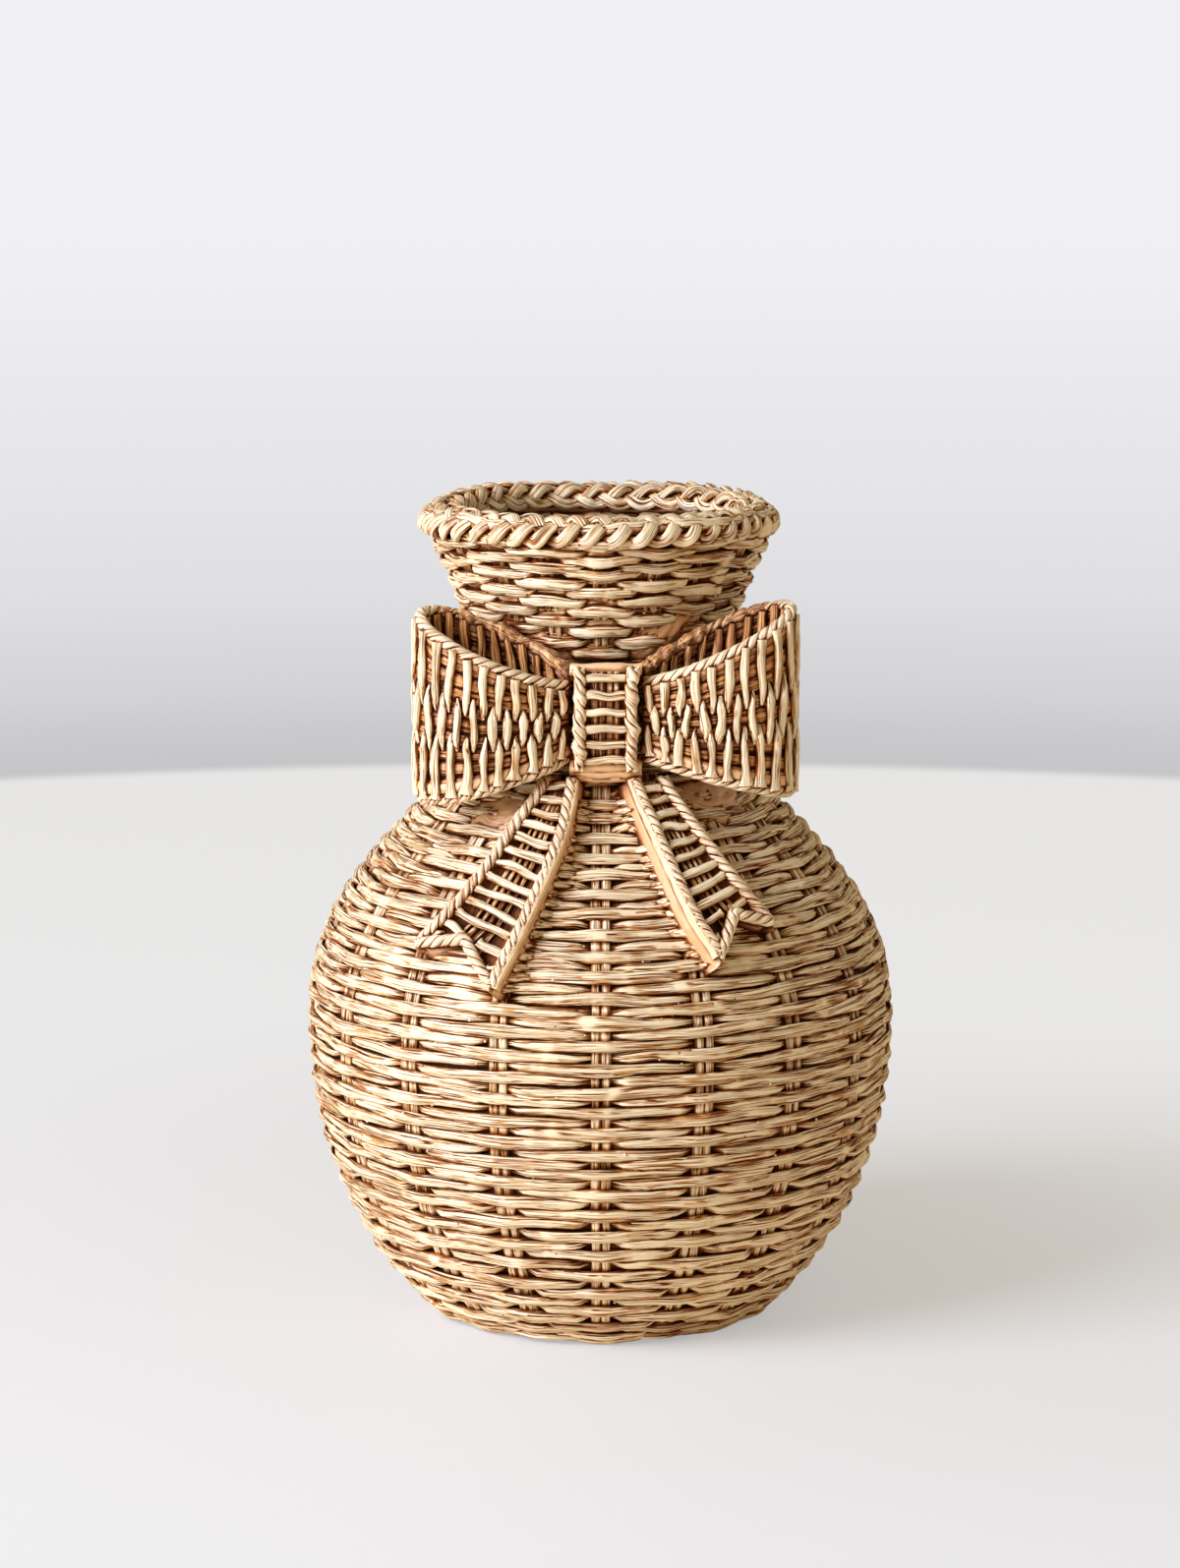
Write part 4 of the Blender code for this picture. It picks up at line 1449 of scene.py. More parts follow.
@dataclass
class BowLoop:
    """One loop of the bow: a woven ribbon that turns back on itself, with rope on its edges.

    A turn is the angle along the ribbon's bend. The canes stand proud of the ribbon's middle by
    their proud fields, more so between their tips.
    """

    shop: Workshop
    finishes: Palette
    shape: LoopShape
    shift: float = 0.0013
    knot_width: float = 0.0174
    reach: float = 0.0438
    depth: float = 0.0230
    before_collar: float = 0.0025
    sweep_back: float = 0.0039
    pinch: float = 0.6
    start: float = math.radians(24)
    turn_step: float = 0.004
    gap: float = 0.0003
    seat_gap: float = 0.0004
    rope: float = 0.0016
    highest_turn: float = 0.0298
    face_swell: float = 0.0003
    cane_pitch: float = 0.00213
    cane_proud: float = 0.00070
    cane_half_width: float = 0.00117
    cane_half_height: float = 0.00050
    tip_height: float = 0.00055
    # The outer canes are painted lighter and the inner ones darker: painted light and shade on the loop's
    # two faces.
    outer_stain: float = -0.12
    inner_stain: float = 0.06
    tiers: tuple = (((0.57, 1.03), (-0.03, 0.43)), ((0.29, 0.71),))
    weavers: int = 9
    weaver_proud: float = 0.00040
    weaver_wave: float = 0.0001
    sheet_half: float = 0.0004
    seam_turns: tuple[float, float] = (math.radians(13), math.radians(158))
    cane_sweep: SweepSizes = SweepSizes(10, 0.00022, grooves_along=70.0, lump_size=0.00022)
    level_sweep: SweepSizes = SweepSizes(8, 0.00008, lump_size=0.00012)
    band_sweep: SweepSizes = SweepSizes(10, 0.00005, lump_size=0.0002)
    seam_sweep: SweepSizes = SweepSizes(16, 0.00020, lump_size=0.0013, outer_focus=0.0)
    seed: int = 91

    def heights(self, turn: Array) -> tuple[Array, Array]:
        """Lower and upper edge of the ribbon.

        Args:
            turn: angles of its turn.

        Returns:
            The heights of both edges at each angle.
        """
        share = (1 - np.cos(turn)) / 2
        part = self.shape
        low = part.root_bottom + (part.turn_bottom - part.root_bottom) * share
        high = part.root_top + (part.turn_top - part.root_top) * share
        low = low + part.bottom_tilt * np.sin(turn)
        high = high + part.top_tilt * np.sin(turn)
        return FORM.waist_height + low, FORM.waist_height + high

    def back(self) -> float:
        """Distance of the ribbon's back from the axis."""
        return FORM.radius(FORM.waist_height + self.highest_turn) + self.before_collar

    def plan(self, turn: Array) -> Array:
        """Middle of the ribbon, seen from above.

        Args:
            turn: angles of its turn.

        Returns:
            Points at height 0.
        """
        share = (1 - np.cos(turn)) / 2
        root = self.knot_width / 2 + self.gap + self.rope
        reach = self.reach - self.gap - 2 * self.rope
        start = (1 - math.cos(self.start)) / 2
        across = self.shift + self.shape.side * (root + reach * (share - start) / (1 - start))
        bow = self.depth / 2 * np.sin(turn) * np.abs(np.sin(turn / 2)) ** self.pinch
        ahead = self.back() - self.sweep_back * share - bow
        low, high = self.heights(turn)
        neck = np.maximum(FORM.crest(low), FORM.crest(high))
        seat = np.sqrt(np.maximum((neck + self.seat_gap + self.rope) ** 2 - across**2, 0))
        return np.stack([across, -np.maximum(ahead, seat), 0 * across], axis=-1)

    def outward(self, turn: Array) -> Array:
        """Outward direction of the ribbon at angles of its turn."""
        along = self.plan(turn + self.turn_step) - self.plan(turn - self.turn_step)
        return unit(np.cross(along, (0, 0, -self.shape.side)))

    def table(self) -> tuple[Array, Array]:
        """Angles of the turn, and the ribbon's length up to them."""
        turns = np.linspace(self.start, FULL_TURN - self.start, 600)
        return turns, arc_lengths(self.plan(turns))

    def face_point(self, turn: Array, share: Array | float, proud: Array | float) -> Array:
        """Points on the ribbon.

        Args:
            turn: angles of its turn.
            share: the share of the way up between its ropes.
            proud: how far they stand off its middle.

        Returns:
            The points.
        """
        share, proud = share + 0 * turn, proud + 0 * turn
        low, high = self.heights(turn)
        low, high = low + 2 * self.rope, high - 2 * self.rope
        swell = self.face_swell * np.sin(math.pi * np.clip(share, 0, 1))
        place = self.plan(turn) + self.outward(turn) * (proud + swell)[..., None]
        place[..., 2] = low + (high - low) * share
        return place

    def rods(self, inner: bool, chance: Chance) -> list[Strand]:
        """The upright canes in three tiers, on one face of the ribbon.

        Args:
            inner: whether it is the inner face.
            chance: the source of their small faults.

        Returns:
            The canes.
        """
        turns, arc = self.table()
        count = int(arc[-1] / self.cane_pitch)
        # Painted light on the outer face, painted shade on the inner one
        facing, stain = (-1.0, self.inner_stain) if inner else (1.0, self.outer_stain)
        part = np.linspace(0, 1, 17)
        made = []
        for cane in range(1, count):
            place = (cane + chance.near(0, 0.08)) * arc[-1] / count
            for low, high in self.tiers[cane % 2]:
                low, high = chance.near(low, 0.015), chance.near(high, 0.015)
                tip_over = chance.near(0.0016, 0.0008) if inner else chance.near(0.0003, 0.0006)
                lean = chance.near(0, 0.0003) + tip_over * (part - 0.5)
                bend = chance.near(0.00022, 0.00012) * np.sin(part * chance.near(6, 2) + cane)
                turn = np.interp(place + lean + bend, arc, turns)
                tip_low = 1.0 if low < 0 else np.clip(part / 0.3, 0, 1) ** 0.7
                tip_high = 1.0 if high > 1 else np.clip((1 - part) / 0.3, 0, 1) ** 0.7
                tip = np.minimum(tip_low, tip_high)
                proud = facing * (self.cane_proud + self.cane_proud * tip)
                points = self.face_point(turn, np.linspace(low, high, len(part)), proud)
                wide = chance.near(self.cane_half_width, 0.00013) * (0.30 + 0.70 * tip)
                wide = wide * (1 + 0.12 * np.sin(part * chance.near(7, 3) + chance.near(0, 3)))
                if low < 0:
                    wide = wide * (1 + 0.75 * np.clip(1 - part / 0.22, 0, 1) ** 2)
                if high > 1:
                    wide = wide * (1 + 0.15 * facing * np.clip(1 - (1 - part) / 0.18, 0, 1) ** 2)
                tall = self.cane_half_height + self.tip_height * tip
                outward = self.outward(turn) * facing
                made.append(Strand(points, outward, wide, tall, chance.tone(), stain))
        return made

    def cross_canes(self, facing: float, chance: Chance) -> list[Strand]:
        """The level canes behind the upright ones.

        Args:
            facing: 1 for the outer face, or -1 for the inner one.
            chance: the source of their small faults.

        Returns:
            The canes.
        """
        turns, arc = self.table()
        even = np.linspace(0.0002, arc[-1] - 0.0002, 90)
        turn = np.interp(even, arc, turns)
        low, high = self.heights(turn)
        room = (high - low - 4 * self.rope) / self.weavers
        made = []
        for weaver in range(self.weavers):
            share = (weaver + 0.5) / self.weavers + 0.008 * chance.wave(even / even[-1], 6)
            wave = np.sin(even / self.cane_pitch * math.pi + weaver * math.pi)
            points = self.face_point(turn, share, facing * (self.weaver_proud + self.weaver_wave * wave))
            wide = room * 0.50 * (1 + 0.06 * chance.wave(even / even[-1], 8))
            outward = self.outward(turn) * facing
            made.append(Strand(points, outward, wide, self.cane_half_height, chance.tone(), 0.02))
        return made

    def sheet(self) -> Mesh:
        """The thin wall in the middle of the ribbon.

        Returns:
            The mesh.
        """
        turns, arc = self.table()
        turn = np.interp(np.linspace(0, arc[-1], 90), arc, turns)
        shares, half = (-0.05, 0.5, 1.05), self.sheet_half
        places = [(share, half) for share in shares] + [(share, -half) for share in shares[::-1]]
        rings = [self.face_point(turn, share, proud) for share, proud in places]
        return grid_mesh("sheet", np.array(rings).transpose(1, 0, 2))

    def bands(self, turn: Array, share: float, proud: float, wide: float, tall: float) -> list[Strand]:
        """Level bands along both faces of the ribbon.

        Args:
            turn: angles of its turn.
            share: the share of the way up where the bands lie.
            proud: how far they stand off its middle.
            wide: half their width.
            tall: half their height.

        Returns:
            The outer band and the inner one.
        """
        return [
            Strand(self.face_point(turn, share, proud * facing), self.outward(turn) * facing, wide, tall)
            for facing in (1.0, -1.0)
        ]

    def build(self) -> None:
        """Makes the loop's ribbon, canes and ropes."""
        name, chance, finishes = self.shape.name, Chance(self.seed + self.shape.side), self.finishes
        ribbon = [f"{name}_loop_ribbon"]
        self.shop.keep(f"{name}_loop_sheet", self.sheet(), finishes.ground, ribbon)
        canes = self.rods(False, chance)
        self.shop.canes(f"{name}_loop_canes", canes, finishes.woven, ribbon, self.cane_sweep)
        canes = self.rods(True, chance)
        self.shop.canes(f"{name}_loop_inner_canes", canes, finishes.cross, ribbon, self.cane_sweep)
        canes = self.cross_canes(1.0, chance) + self.cross_canes(-1.0, chance)
        self.shop.canes(f"{name}_loop_cross_canes", canes, finishes.cross, ribbon, self.level_sweep)
        turns, arc = self.table()
        turn = np.interp(np.linspace(0, arc[-1], 160), arc, turns)
        web = self.bands(turn, 0.035, 0.0006, 0.0017, 0.00085)
        self.shop.canes(f"{name}_loop_web", web, finishes.smooth, ribbon, self.band_sweep)
        band = self.bands(turn, 0.985, 0.0005, 0.0011, 0.0007)
        self.shop.canes(f"{name}_loop_band", band, finishes.seam, ribbon, self.band_sweep)
        self.build_seam(chance)
        low, high = self.heights(turn)
        back = np.clip(math.pi - turn, 0, 1) * 0.26
        edges = ("bottom", low + self.rope, back * 0.6), ("top", high - self.rope, back)
        for edge, level, stain in edges:
            route = self.plan(turn)
            route[:, 2] = level
            winding = Rope(self.rope).wind(route, np.array((0, 0, 1.0)), chance, stain)
            self.shop.rope(f"{name}_loop_rope_{edge}", winding, finishes.rope)

    def build_seam(self, chance: Chance) -> None:
        """Makes the lumpy brown resin that buries the back top rope near the knot.

        Args:
            chance: the source of its lumps.
        """
        turn = np.linspace(*self.seam_turns, 90)
        share = np.linspace(0, 1, len(turn))
        route = self.plan(turn)
        route[:, 2] = self.heights(turn)[1] - self.rope + 0.0002
        thick = 0.00172 - 0.0006 * ease(share, 0.45, 1.0)
        thick = thick * (1 + 0.11 * chance.wave(share, 20))
        seam = Strand(route, np.array((0, 0, 1.0)), thick * 1.25, thick, 0.5, 0.05)
        name, nodes = f"{self.shape.name}_loop_seam", [f"{self.shape.name}_loop_rope_top"]
        self.shop.canes(name, [seam], self.finishes.seam, nodes, self.seam_sweep)


@dataclass
class Knot:
    """The bow's knot: a block on the neck with bars between two upright ropes.

    A depth is counted back from the ropes' fronts, and it and the wall are in radii of the loops'
    ropes. Each pad has its height, its depth and half its thickness.
    """

    shop: Workshop
    finishes: Palette
    loop: BowLoop
    before_loops: float = 0.0071
    bottom: float = 0.1645
    top: float = 0.1920
    bulge: float = 0.0012
    seat_bite: float = 0.0014
    shelf_depth: float = 1.25
    floor_depth: float = 2.9
    wall: float = 1.9
    bevel: float = 0.0006
    bar_heights: tuple[float, ...] = (0.1668, 0.1712, 0.1757, 0.1802, 0.1846, 0.1893)
    bar_depth: float = 1.15
    bar_half: float = 0.0011
    rod_places: tuple[float, ...] = (-0.0031, -0.0011, 0.0011, 0.0030)
    rod_depth: float = 2.35
    rod_half_width: float = 0.00098
    rod_half_height: float = 0.0009
    pads: tuple[tuple[float, float, float], ...] = (
        (0.1914, 2.9, 0.0016), (0.1647, 2.7, 0.0018), (0.1631, 3.5, 0.0020), (0.1617, 4.3, 0.0020)
    )
    pad_reach: float = 0.0012
    rope_swell: float = 1.10
    rope_stray: float = 0.00022
    cane_sweep: SweepSizes = SweepSizes(12, 0.00014)
    pad_sweep: SweepSizes = SweepSizes(14, 0.00006, lump_size=0.0004, outer_focus=0.0)
    rope_sweep: SweepSizes = SweepSizes(12, 0.00024, lump_size=0.0009, outer_focus=0.0)
    seed: int = 57

    def front(self) -> float:
        """Distance of the ropes' fronts from the axis."""
        return self.loop.back() + self.before_loops

    def swell(self, height: Array) -> Array:
        """How far the knot bulges forward at a height."""
        share = np.clip((height - self.bottom) / (self.top - self.bottom), 0, 1)
        return self.bulge * np.sin(math.pi * share)

    def line(self, across: Array | float, depth: Array | float, height: Array) -> Array:
        """Points across from the knot's middle, at a depth before the axis and at a height."""
        across, depth = across + self.loop.shift + 0 * height, depth + 0 * height
        return np.stack([across, -depth, height], axis=1)

    def block(self) -> Mesh:
        """The solid body behind the bars, which fits the neck.

        Returns:
            The mesh.
        """
        half, rope, bevel = self.loop.knot_width / 2, self.loop.rope, self.bevel
        inner = half - self.wall * rope
        rings = []
        for height in np.linspace(self.bottom, self.top, 24):
            seat, swell = FORM.radius(height) - self.seat_bite, float(self.swell(np.array(height)))
            shelf = self.front() - self.shelf_depth * rope + swell
            floor = self.front() - self.floor_depth * rope + swell
            side = [(half, 0.003 - shelf), (half - 0.0002, bevel - shelf), (half - 0.0008, -shelf)]
            side += [(inner + bevel, -shelf), (inner, -floor - bevel), (inner - bevel, -floor)]
            line = [(across, -math.sqrt(seat**2 - across**2)) for across in np.linspace(-half, half, 7)]
            line += side + [(-across, before) for across, before in side[::-1]]
            rings.append([(x + self.loop.shift, y, height) for x, y in line])
        return grid_mesh("block", np.array(rings))

    def build(self) -> None:
        """Makes the block, the bars, the rods behind them, the pads and the ropes."""
        chance, band, ahead = Chance(self.seed), ["knot_band"], np.array((0, -1.0, 0))
        half, rope, front = self.loop.knot_width / 2, self.loop.rope, self.front()
        self.shop.keep("knot_block", self.block(), self.finishes.smooth, band)
        bars, rods, pads = [], [], []
        across = np.linspace(-half + 1.2 * rope, half - 1.2 * rope, 16)
        for height in self.bar_heights:
            level = height + 0.0003 * chance.wave(np.linspace(0, 0.5, 16), 3)
            depth = front - self.bar_depth * rope + self.swell(level) - 0.0006 * (across / half) ** 2
            wide = chance.near(0.00112, 0.0001)
            points = self.line(across, depth, level)
            bars.append(Strand(points, ahead, wide, self.bar_half, chance.tone(), -0.12))
        self.shop.canes("knot_bars", bars, self.finishes.woven, band, self.cane_sweep)
        heights = np.linspace(self.bottom + 0.001, self.top - 0.001, 24)
        for place in self.rod_places:
            points = self.line(place, front - self.rod_depth * rope + self.swell(heights), heights)
            sizes = self.rod_half_width, self.rod_half_height
            rods.append(Strand(points, ahead, *sizes, chance.tone(), 0.08))
        self.shop.canes("knot_rods", rods, self.finishes.stake, band, self.cane_sweep)
        across = np.linspace(-half - self.pad_reach, half + self.pad_reach, 30)
        for height, depth, thick in self.pads:
            level = height + 0.00025 * chance.wave(np.linspace(0, 0.5, 30), 4)
            points = self.line(across, front - depth * rope - 0.0010 * (across / half) ** 2, level)
            pads.append(Strand(points, ahead, thick * (1 + 0.07 * chance.wave(across * 20, 3)), thick))
        self.shop.canes("knot_pads", pads, self.finishes.smooth, band, self.pad_sweep)
        heights = np.linspace(self.bottom - 0.0003, self.top + 0.0003, 40)
        for name, side in (("left", -1), ("right", 1)):
            route = self.line(side * (half - rope), front - rope + self.swell(heights), heights)
            route[:, 0] += self.rope_stray * chance.wave(np.linspace(0, 1, len(route)), 7)
            winding = Rope(rope * self.rope_swell).wind(route, ahead, chance)
            self.shop.rope(f"knot_rope_{name}", winding, self.finishes.rope, self.rope_sweep)


@dataclass(frozen=True)
class TailShape:
    """One tail: how far its ends drop below the waist, and its edges' angles in degrees."""

    name: str
    inner_end: float
    outer_end: float
    notch: float
    inner_angles: tuple[float, ...]
    outer_angles: tuple[float, ...]
    notch_angle: float
    side: int
    inner_flare: float


@dataclass
class Tail:
    """One tail of the bow: a ladder ribbon that lies on the shoulder and ends in a notch.

    Places are given as a share of the way down, a share of the way across from the inner edge,
    and a height above the crest.
    """

    shop: Workshop
    finishes: Palette
    shape: TailShape
    start: float = 0.0202
    notch_start: float = 0.72
    rope: float = 0.0016
    rope_height: float = 0.0050
    wall_drop: float = 0.0004
    floor: float = 0.0020
    sink: float = -0.0008
    wall_stain: float = 0.34
    rung_height: float = 0.0040
    rung_pitch: float = 0.0040
    rung_half_width: float = 0.00116
    rung_half_height: float = 0.00104
    narrowest: float = 0.0016
    rod_places: tuple[float, ...] = (0.36, 0.46, 0.56, 0.66)
    rod_half_width: float = 0.00062
    rod_half_height: float = 0.0007
    rail_half: float = 0.00150
    outer_flare: float = 0.0008
    fillet_half_width: float = 0.00175
    fillet_half_height: float = 0.0011
    cane_sweep: SweepSizes = SweepSizes(12, 0.00014)
    fillet_sweep: SweepSizes = SweepSizes(12, 0.00006, lump_size=0.0003)
    rail_sweep: SweepSizes = SweepSizes(14, 0.00008, lump_size=0.0003, outer_focus=0.0)
    seed: int = 203

    def smooth_through(self, values: Sequence[float], share: Array) -> Array:
        """Smooth values through evenly spaced ones.

        Args:
            values: the spaced values.
            share: where between the first and the last one they are wanted, from 0 to 1.

        Returns:
            The value at each share.
        """
        ends = np.asarray(values, float)
        padded = np.concatenate([ends[:1], ends, ends[-1:]])
        place = np.asarray(share, float) * (len(ends) - 1)
        index = np.clip(np.floor(place).astype(int), 0, len(ends) - 2)
        part = place - index
        before, start, end, after = (padded[index + shift] for shift in range(4))
        slope, next_slope = (end - before) / 2, (after - start) / 2
        curve = (2 * start - 2 * end + slope + next_slope) * part**3
        curve += (3 * end - 3 * start - 2 * slope - next_slope) * part**2
        return curve + slope * part + start

    def point(self, down: Array, across: Array, proud: Array, notched: float = 1.0) -> Array:
        """Points on the tail.

        Args:
            down: how far down the tail, from 0 to 1.
            across: how far across it from the inner edge, from 0 to 1.
            proud: the height above the crest.
            notched: 1 where the notch bends the tail's lines, or 0 for straight ones.

        Returns:
            The points.
        """
        down, across, proud = np.broadcast_arrays(*(np.asarray(v, float) for v in (down, across, proud)))
        part = self.shape
        inner = self.smooth_through(part.inner_angles, down)
        outer = self.smooth_through(part.outer_angles, down)
        end = part.inner_end + (part.outer_end - part.inner_end) * across
        cut = notched * np.maximum(0, (down - self.notch_start) / (1 - self.notch_start))
        inward = 1 - np.abs(2 * np.clip(across, 0, 1) - 1)
        ends = (part.inner_end + part.outer_end) / 2
        middle = (part.inner_angles[-1] + part.outer_angles[-1]) / 2
        drop = self.start + (end - self.start) * down + (part.notch - ends) * cut * inward
        angle = inner + (outer - inner) * across + (part.notch_angle - middle) * cut * inward
        return FORM.place(np.radians(angle), FORM.waist_height - drop, proud)

    def breadth(self, down: Array) -> Array:
        """The tail's breadth."""
        return np.linalg.norm(self.point(down, 1.0, 0.0) - self.point(down, 0.0, 0.0), axis=-1)

    def square(self, points: Array) -> Array:
        """The shoulder's outward direction at points."""
        return FORM.square_to(np.arctan2(points[..., 0], -points[..., 1]), points[..., 2])

    def open_stretches(self, down: float) -> list[tuple[float, float]]:
        """Where across the tail a straight rung runs clear of the notch.

        Args:
            down: how far down the tail the rung lies.

        Returns:
            Pairs of shares.
        """
        across = np.linspace(0, 1, 200)
        line = self.point(down, across, 0.0, 0.0)
        end = self.point(1.0, across, 0.0)
        width = float(self.breadth(np.array(min(down, 1.0))))
        inset = 1.35 * self.rope / width
        fits = (line[:, 2] > end[:, 2] + 1.5 * self.rope) & (across > inset) & (across < 1 - inset)
        places = np.where(np.diff(np.concatenate([[0], fits.astype(int), [0]])))[0]
        pairs = zip(across[places[::2]], across[np.minimum(places[1::2], len(across) - 1)])
        return [(low, high) for low, high in pairs if (high - low) * width > self.narrowest]

    def tray(self) -> Mesh:
        """The smooth body: two side walls that carry the ropes, and a floor between them.

        Returns:
            The mesh, with painted shade on its walls, darker and darker towards their feet.
        """
        downs = np.concatenate([[-0.02], np.linspace(0, 1, 70), [1.0, 1.0]])
        sink, inner, outer = self.sink, self.shape.inner_flare, self.outer_flare
        rings, stains = [], []
        for step, down in enumerate(downs):
            width = float(self.breadth(np.array(min(max(down, 0), 1))))
            lane = 2 * self.rope / width
            closing = step == len(downs) - 1
            top, floor = (sink, sink) if closing else (self.rope_height - self.wall_drop, self.floor)
            wall = [(0.02, top - 0.0006), (0.25 * lane, top), (0.80 * lane, top)]
            wall += [(1.00 * lane, floor + 0.0008), (1.20 * lane, floor)]
            line = [(-inner / width, sink), (-0.55 * inner / width, 0.0009)]
            line += [(-0.18 * inner / width, 0.0026)] + wall
            line += [(share, floor) for share in (0.36, 0.5, 0.64)]
            line += [(1 - across, proud) for across, proud in wall[::-1]]
            line += [(1 + 0.3 * outer / width, 0.0026), (1 + 0.6 * outer / width, 0.0009)]
            line += [(1 + outer / width, sink)] + [(share, sink) for share in (0.8, 0.6, 0.4, 0.2)]
            across, proud = np.array(line).T
            if closing:
                proud = np.minimum(proud, sink)
            rings.append(self.point(np.array(down), across, proud))
            # Painted shade, darker down the walls towards their feet and on the closing end
            stains.append(self.wall_stain * np.clip((top - proud) / (top - sink + 1e-9), 0, 1))
        mesh = grid_mesh("tray", np.array(rings))
        store(mesh, "stain", np.concatenate(stains))
        return mesh

    def build_fillets(self, downs: Array, chance: Chance) -> None:
        """Makes the resin that runs from the tail's inner wall onto the rows beside it.

        Args:
            downs: places down the tail.
            chance: the source of the fillets' small faults.
        """
        edge = self.point(downs, 0.0, 0.0)
        made = []
        for height in Basket.heights_of_rows(Basket.over_heights):
            if not edge[-1, 2] + 0.002 < height < edge[0, 2] - 0.003:
                continue
            x, y = self.point(float(np.interp(-height, -edge[:, 2], downs)), 0.0, 0.0)[:2]
            long = chance.near(0.0040, 0.0020)
            away = np.linspace(-0.0008, long, 14)
            share = np.clip(away / long, 0, 1)
            angle = math.atan2(x, -y) - self.shape.side * away / FORM.radius(height)
            level = height + chance.near(0, 0.0003) - 0.0004 * (1 - share)
            points = FORM.place(angle, level, 0.0008 - 0.0022 * share**0.6)
            wide = self.fillet_half_width - 0.00085 * share**0.8
            tall = self.fillet_half_height - 0.0005 * share
            made.append(Strand(points, self.square(points), wide, tall, 0.5, 0.10))
        name, nodes = f"{self.shape.name}_tail_fillets", [f"{self.shape.name}_tail_ribbon"]
        self.shop.canes(name, made, self.finishes.woven, nodes, self.fillet_sweep)

    def rungs(self, length: float, chance: Chance) -> list[Strand]:
        """The ladder's rungs.

        Args:
            length: the tail's length.
            chance: the source of their small faults.

        Returns:
            The rungs.
        """
        count = int(round(length / self.rung_pitch))
        made = []
        for rung in range(count + 2):
            down = (rung + 0.55) / (count + 0.1) + chance.near(0, 0.004)
            for low, high in self.open_stretches(down):
                across = np.linspace(low, high, 15)
                bend = 0.00035 * chance.wave(np.linspace(0, 0.5, 15), 2) / length
                proud = self.rung_height + 0.0003 * np.sin(math.pi * across)
                points = self.point(down + bend, across, proud, 0.0)
                ends = np.abs(2 * np.linspace(0, 1, 15) - 1)
                wide = chance.near(self.rung_half_width, 0.00014) * (1 + 0.08 * chance.wave(across, 3))
                wide = wide * (1 + 0.55 * np.clip((ends - 0.72) / 0.28, 0, 1) ** 2)
                square = self.square(points)
                made.append(Strand(points, square, wide, self.rung_half_height, chance.tone(), -0.10))
        return made

    def beside(self, downs: Array, side: int, inset: float, proud: float) -> Array:
        """A line along the tail's inner edge for a side of 1, or its outer one for -1."""
        share = inset / self.breadth(downs)
        return self.point(downs, share if side > 0 else 1 - share, proud)

    def build(self) -> None:
        """Makes the tail's body, rungs, rods, rails and ropes."""
        name, chance = self.shape.name, Chance(self.seed + len(self.shape.name))
        ribbon = [f"{name}_tail_ribbon"]
        self.shop.keep(f"{name}_tail_body", self.tray(), self.finishes.smooth, ribbon)
        downs = np.linspace(0, 1, 120)
        length = float(arc_lengths(self.point(downs, 0.5, 0.003))[-1])
        rungs = self.rungs(length, chance)
        self.shop.canes(f"{name}_tail_rungs", rungs, self.finishes.woven, ribbon, self.cane_sweep)
        rods = []
        for across in self.rod_places:
            points = self.point(np.linspace(0.0, 0.97, 60), across, self.floor + 0.0006)
            sizes = self.rod_half_width, self.rod_half_height
            rods.append(Strand(points, self.square(points), *sizes, chance.tone(), 0.1))
        self.shop.canes(f"{name}_tail_rods", rods, self.finishes.stake, ribbon, self.cane_sweep)
        self.build_fillets(downs, chance)
        last = 1 - self.rope / length
        places, rails, routes = downs * last, [], {}
        for word, side, shift in (("inner", 1, 0.42), ("outer", -1, 0.20)):
            routes[word] = self.beside(places, side, self.rope, self.rope_height)
            line = self.beside(places, side, (1 - shift) * self.rope, self.rope_height - self.wall_drop)
            thick = self.rail_half * (1 + 0.05 * chance.wave(downs, 12))
            rails.append(Strand(line, self.square(line), thick, thick))
        self.shop.canes(
            f"{name}_tail_rails", rails, self.finishes.rail, ribbon, self.rail_sweep, Slot.PALE
        )
        routes["end"] = self.point(last, np.linspace(0.04, 0.96, 60), self.rope_height)
        for word, route in routes.items():
            winding = Rope(self.rope).wind(route, self.square(route), chance)
            self.shop.rope(f"{name}_tail_rope_{word}", winding, self.finishes.rope)


LOOPS = (
    LoopShape("left", -1, 0.0115, 0.0287, 0.0042, -0.0110, -0.0240, 0.0025),
    LoopShape("right", 1, 0.0120, 0.0308, 0.0033, -0.0115, -0.0226, 0.0006),
)
TAILS = (
    TailShape(
        "left", 0.0725, 0.0630, 0.0600, (-7.5, -9.0, -12.5, -16.0, -19.5),
        (-20.5, -25.5, -29.0, -33.5, -39.0), -27.5, -1, 0.0011,
    ),
    TailShape(
        "right", 0.0655, 0.0580, 0.0540, (9.5, 13.0, 15.8, 18.6, 22.5),
        (23.3, 27.0, 30.5, 34.0, 37.5), 28.4, 1, 0.0024,
    ),
)


# Resin that ran between the pieces


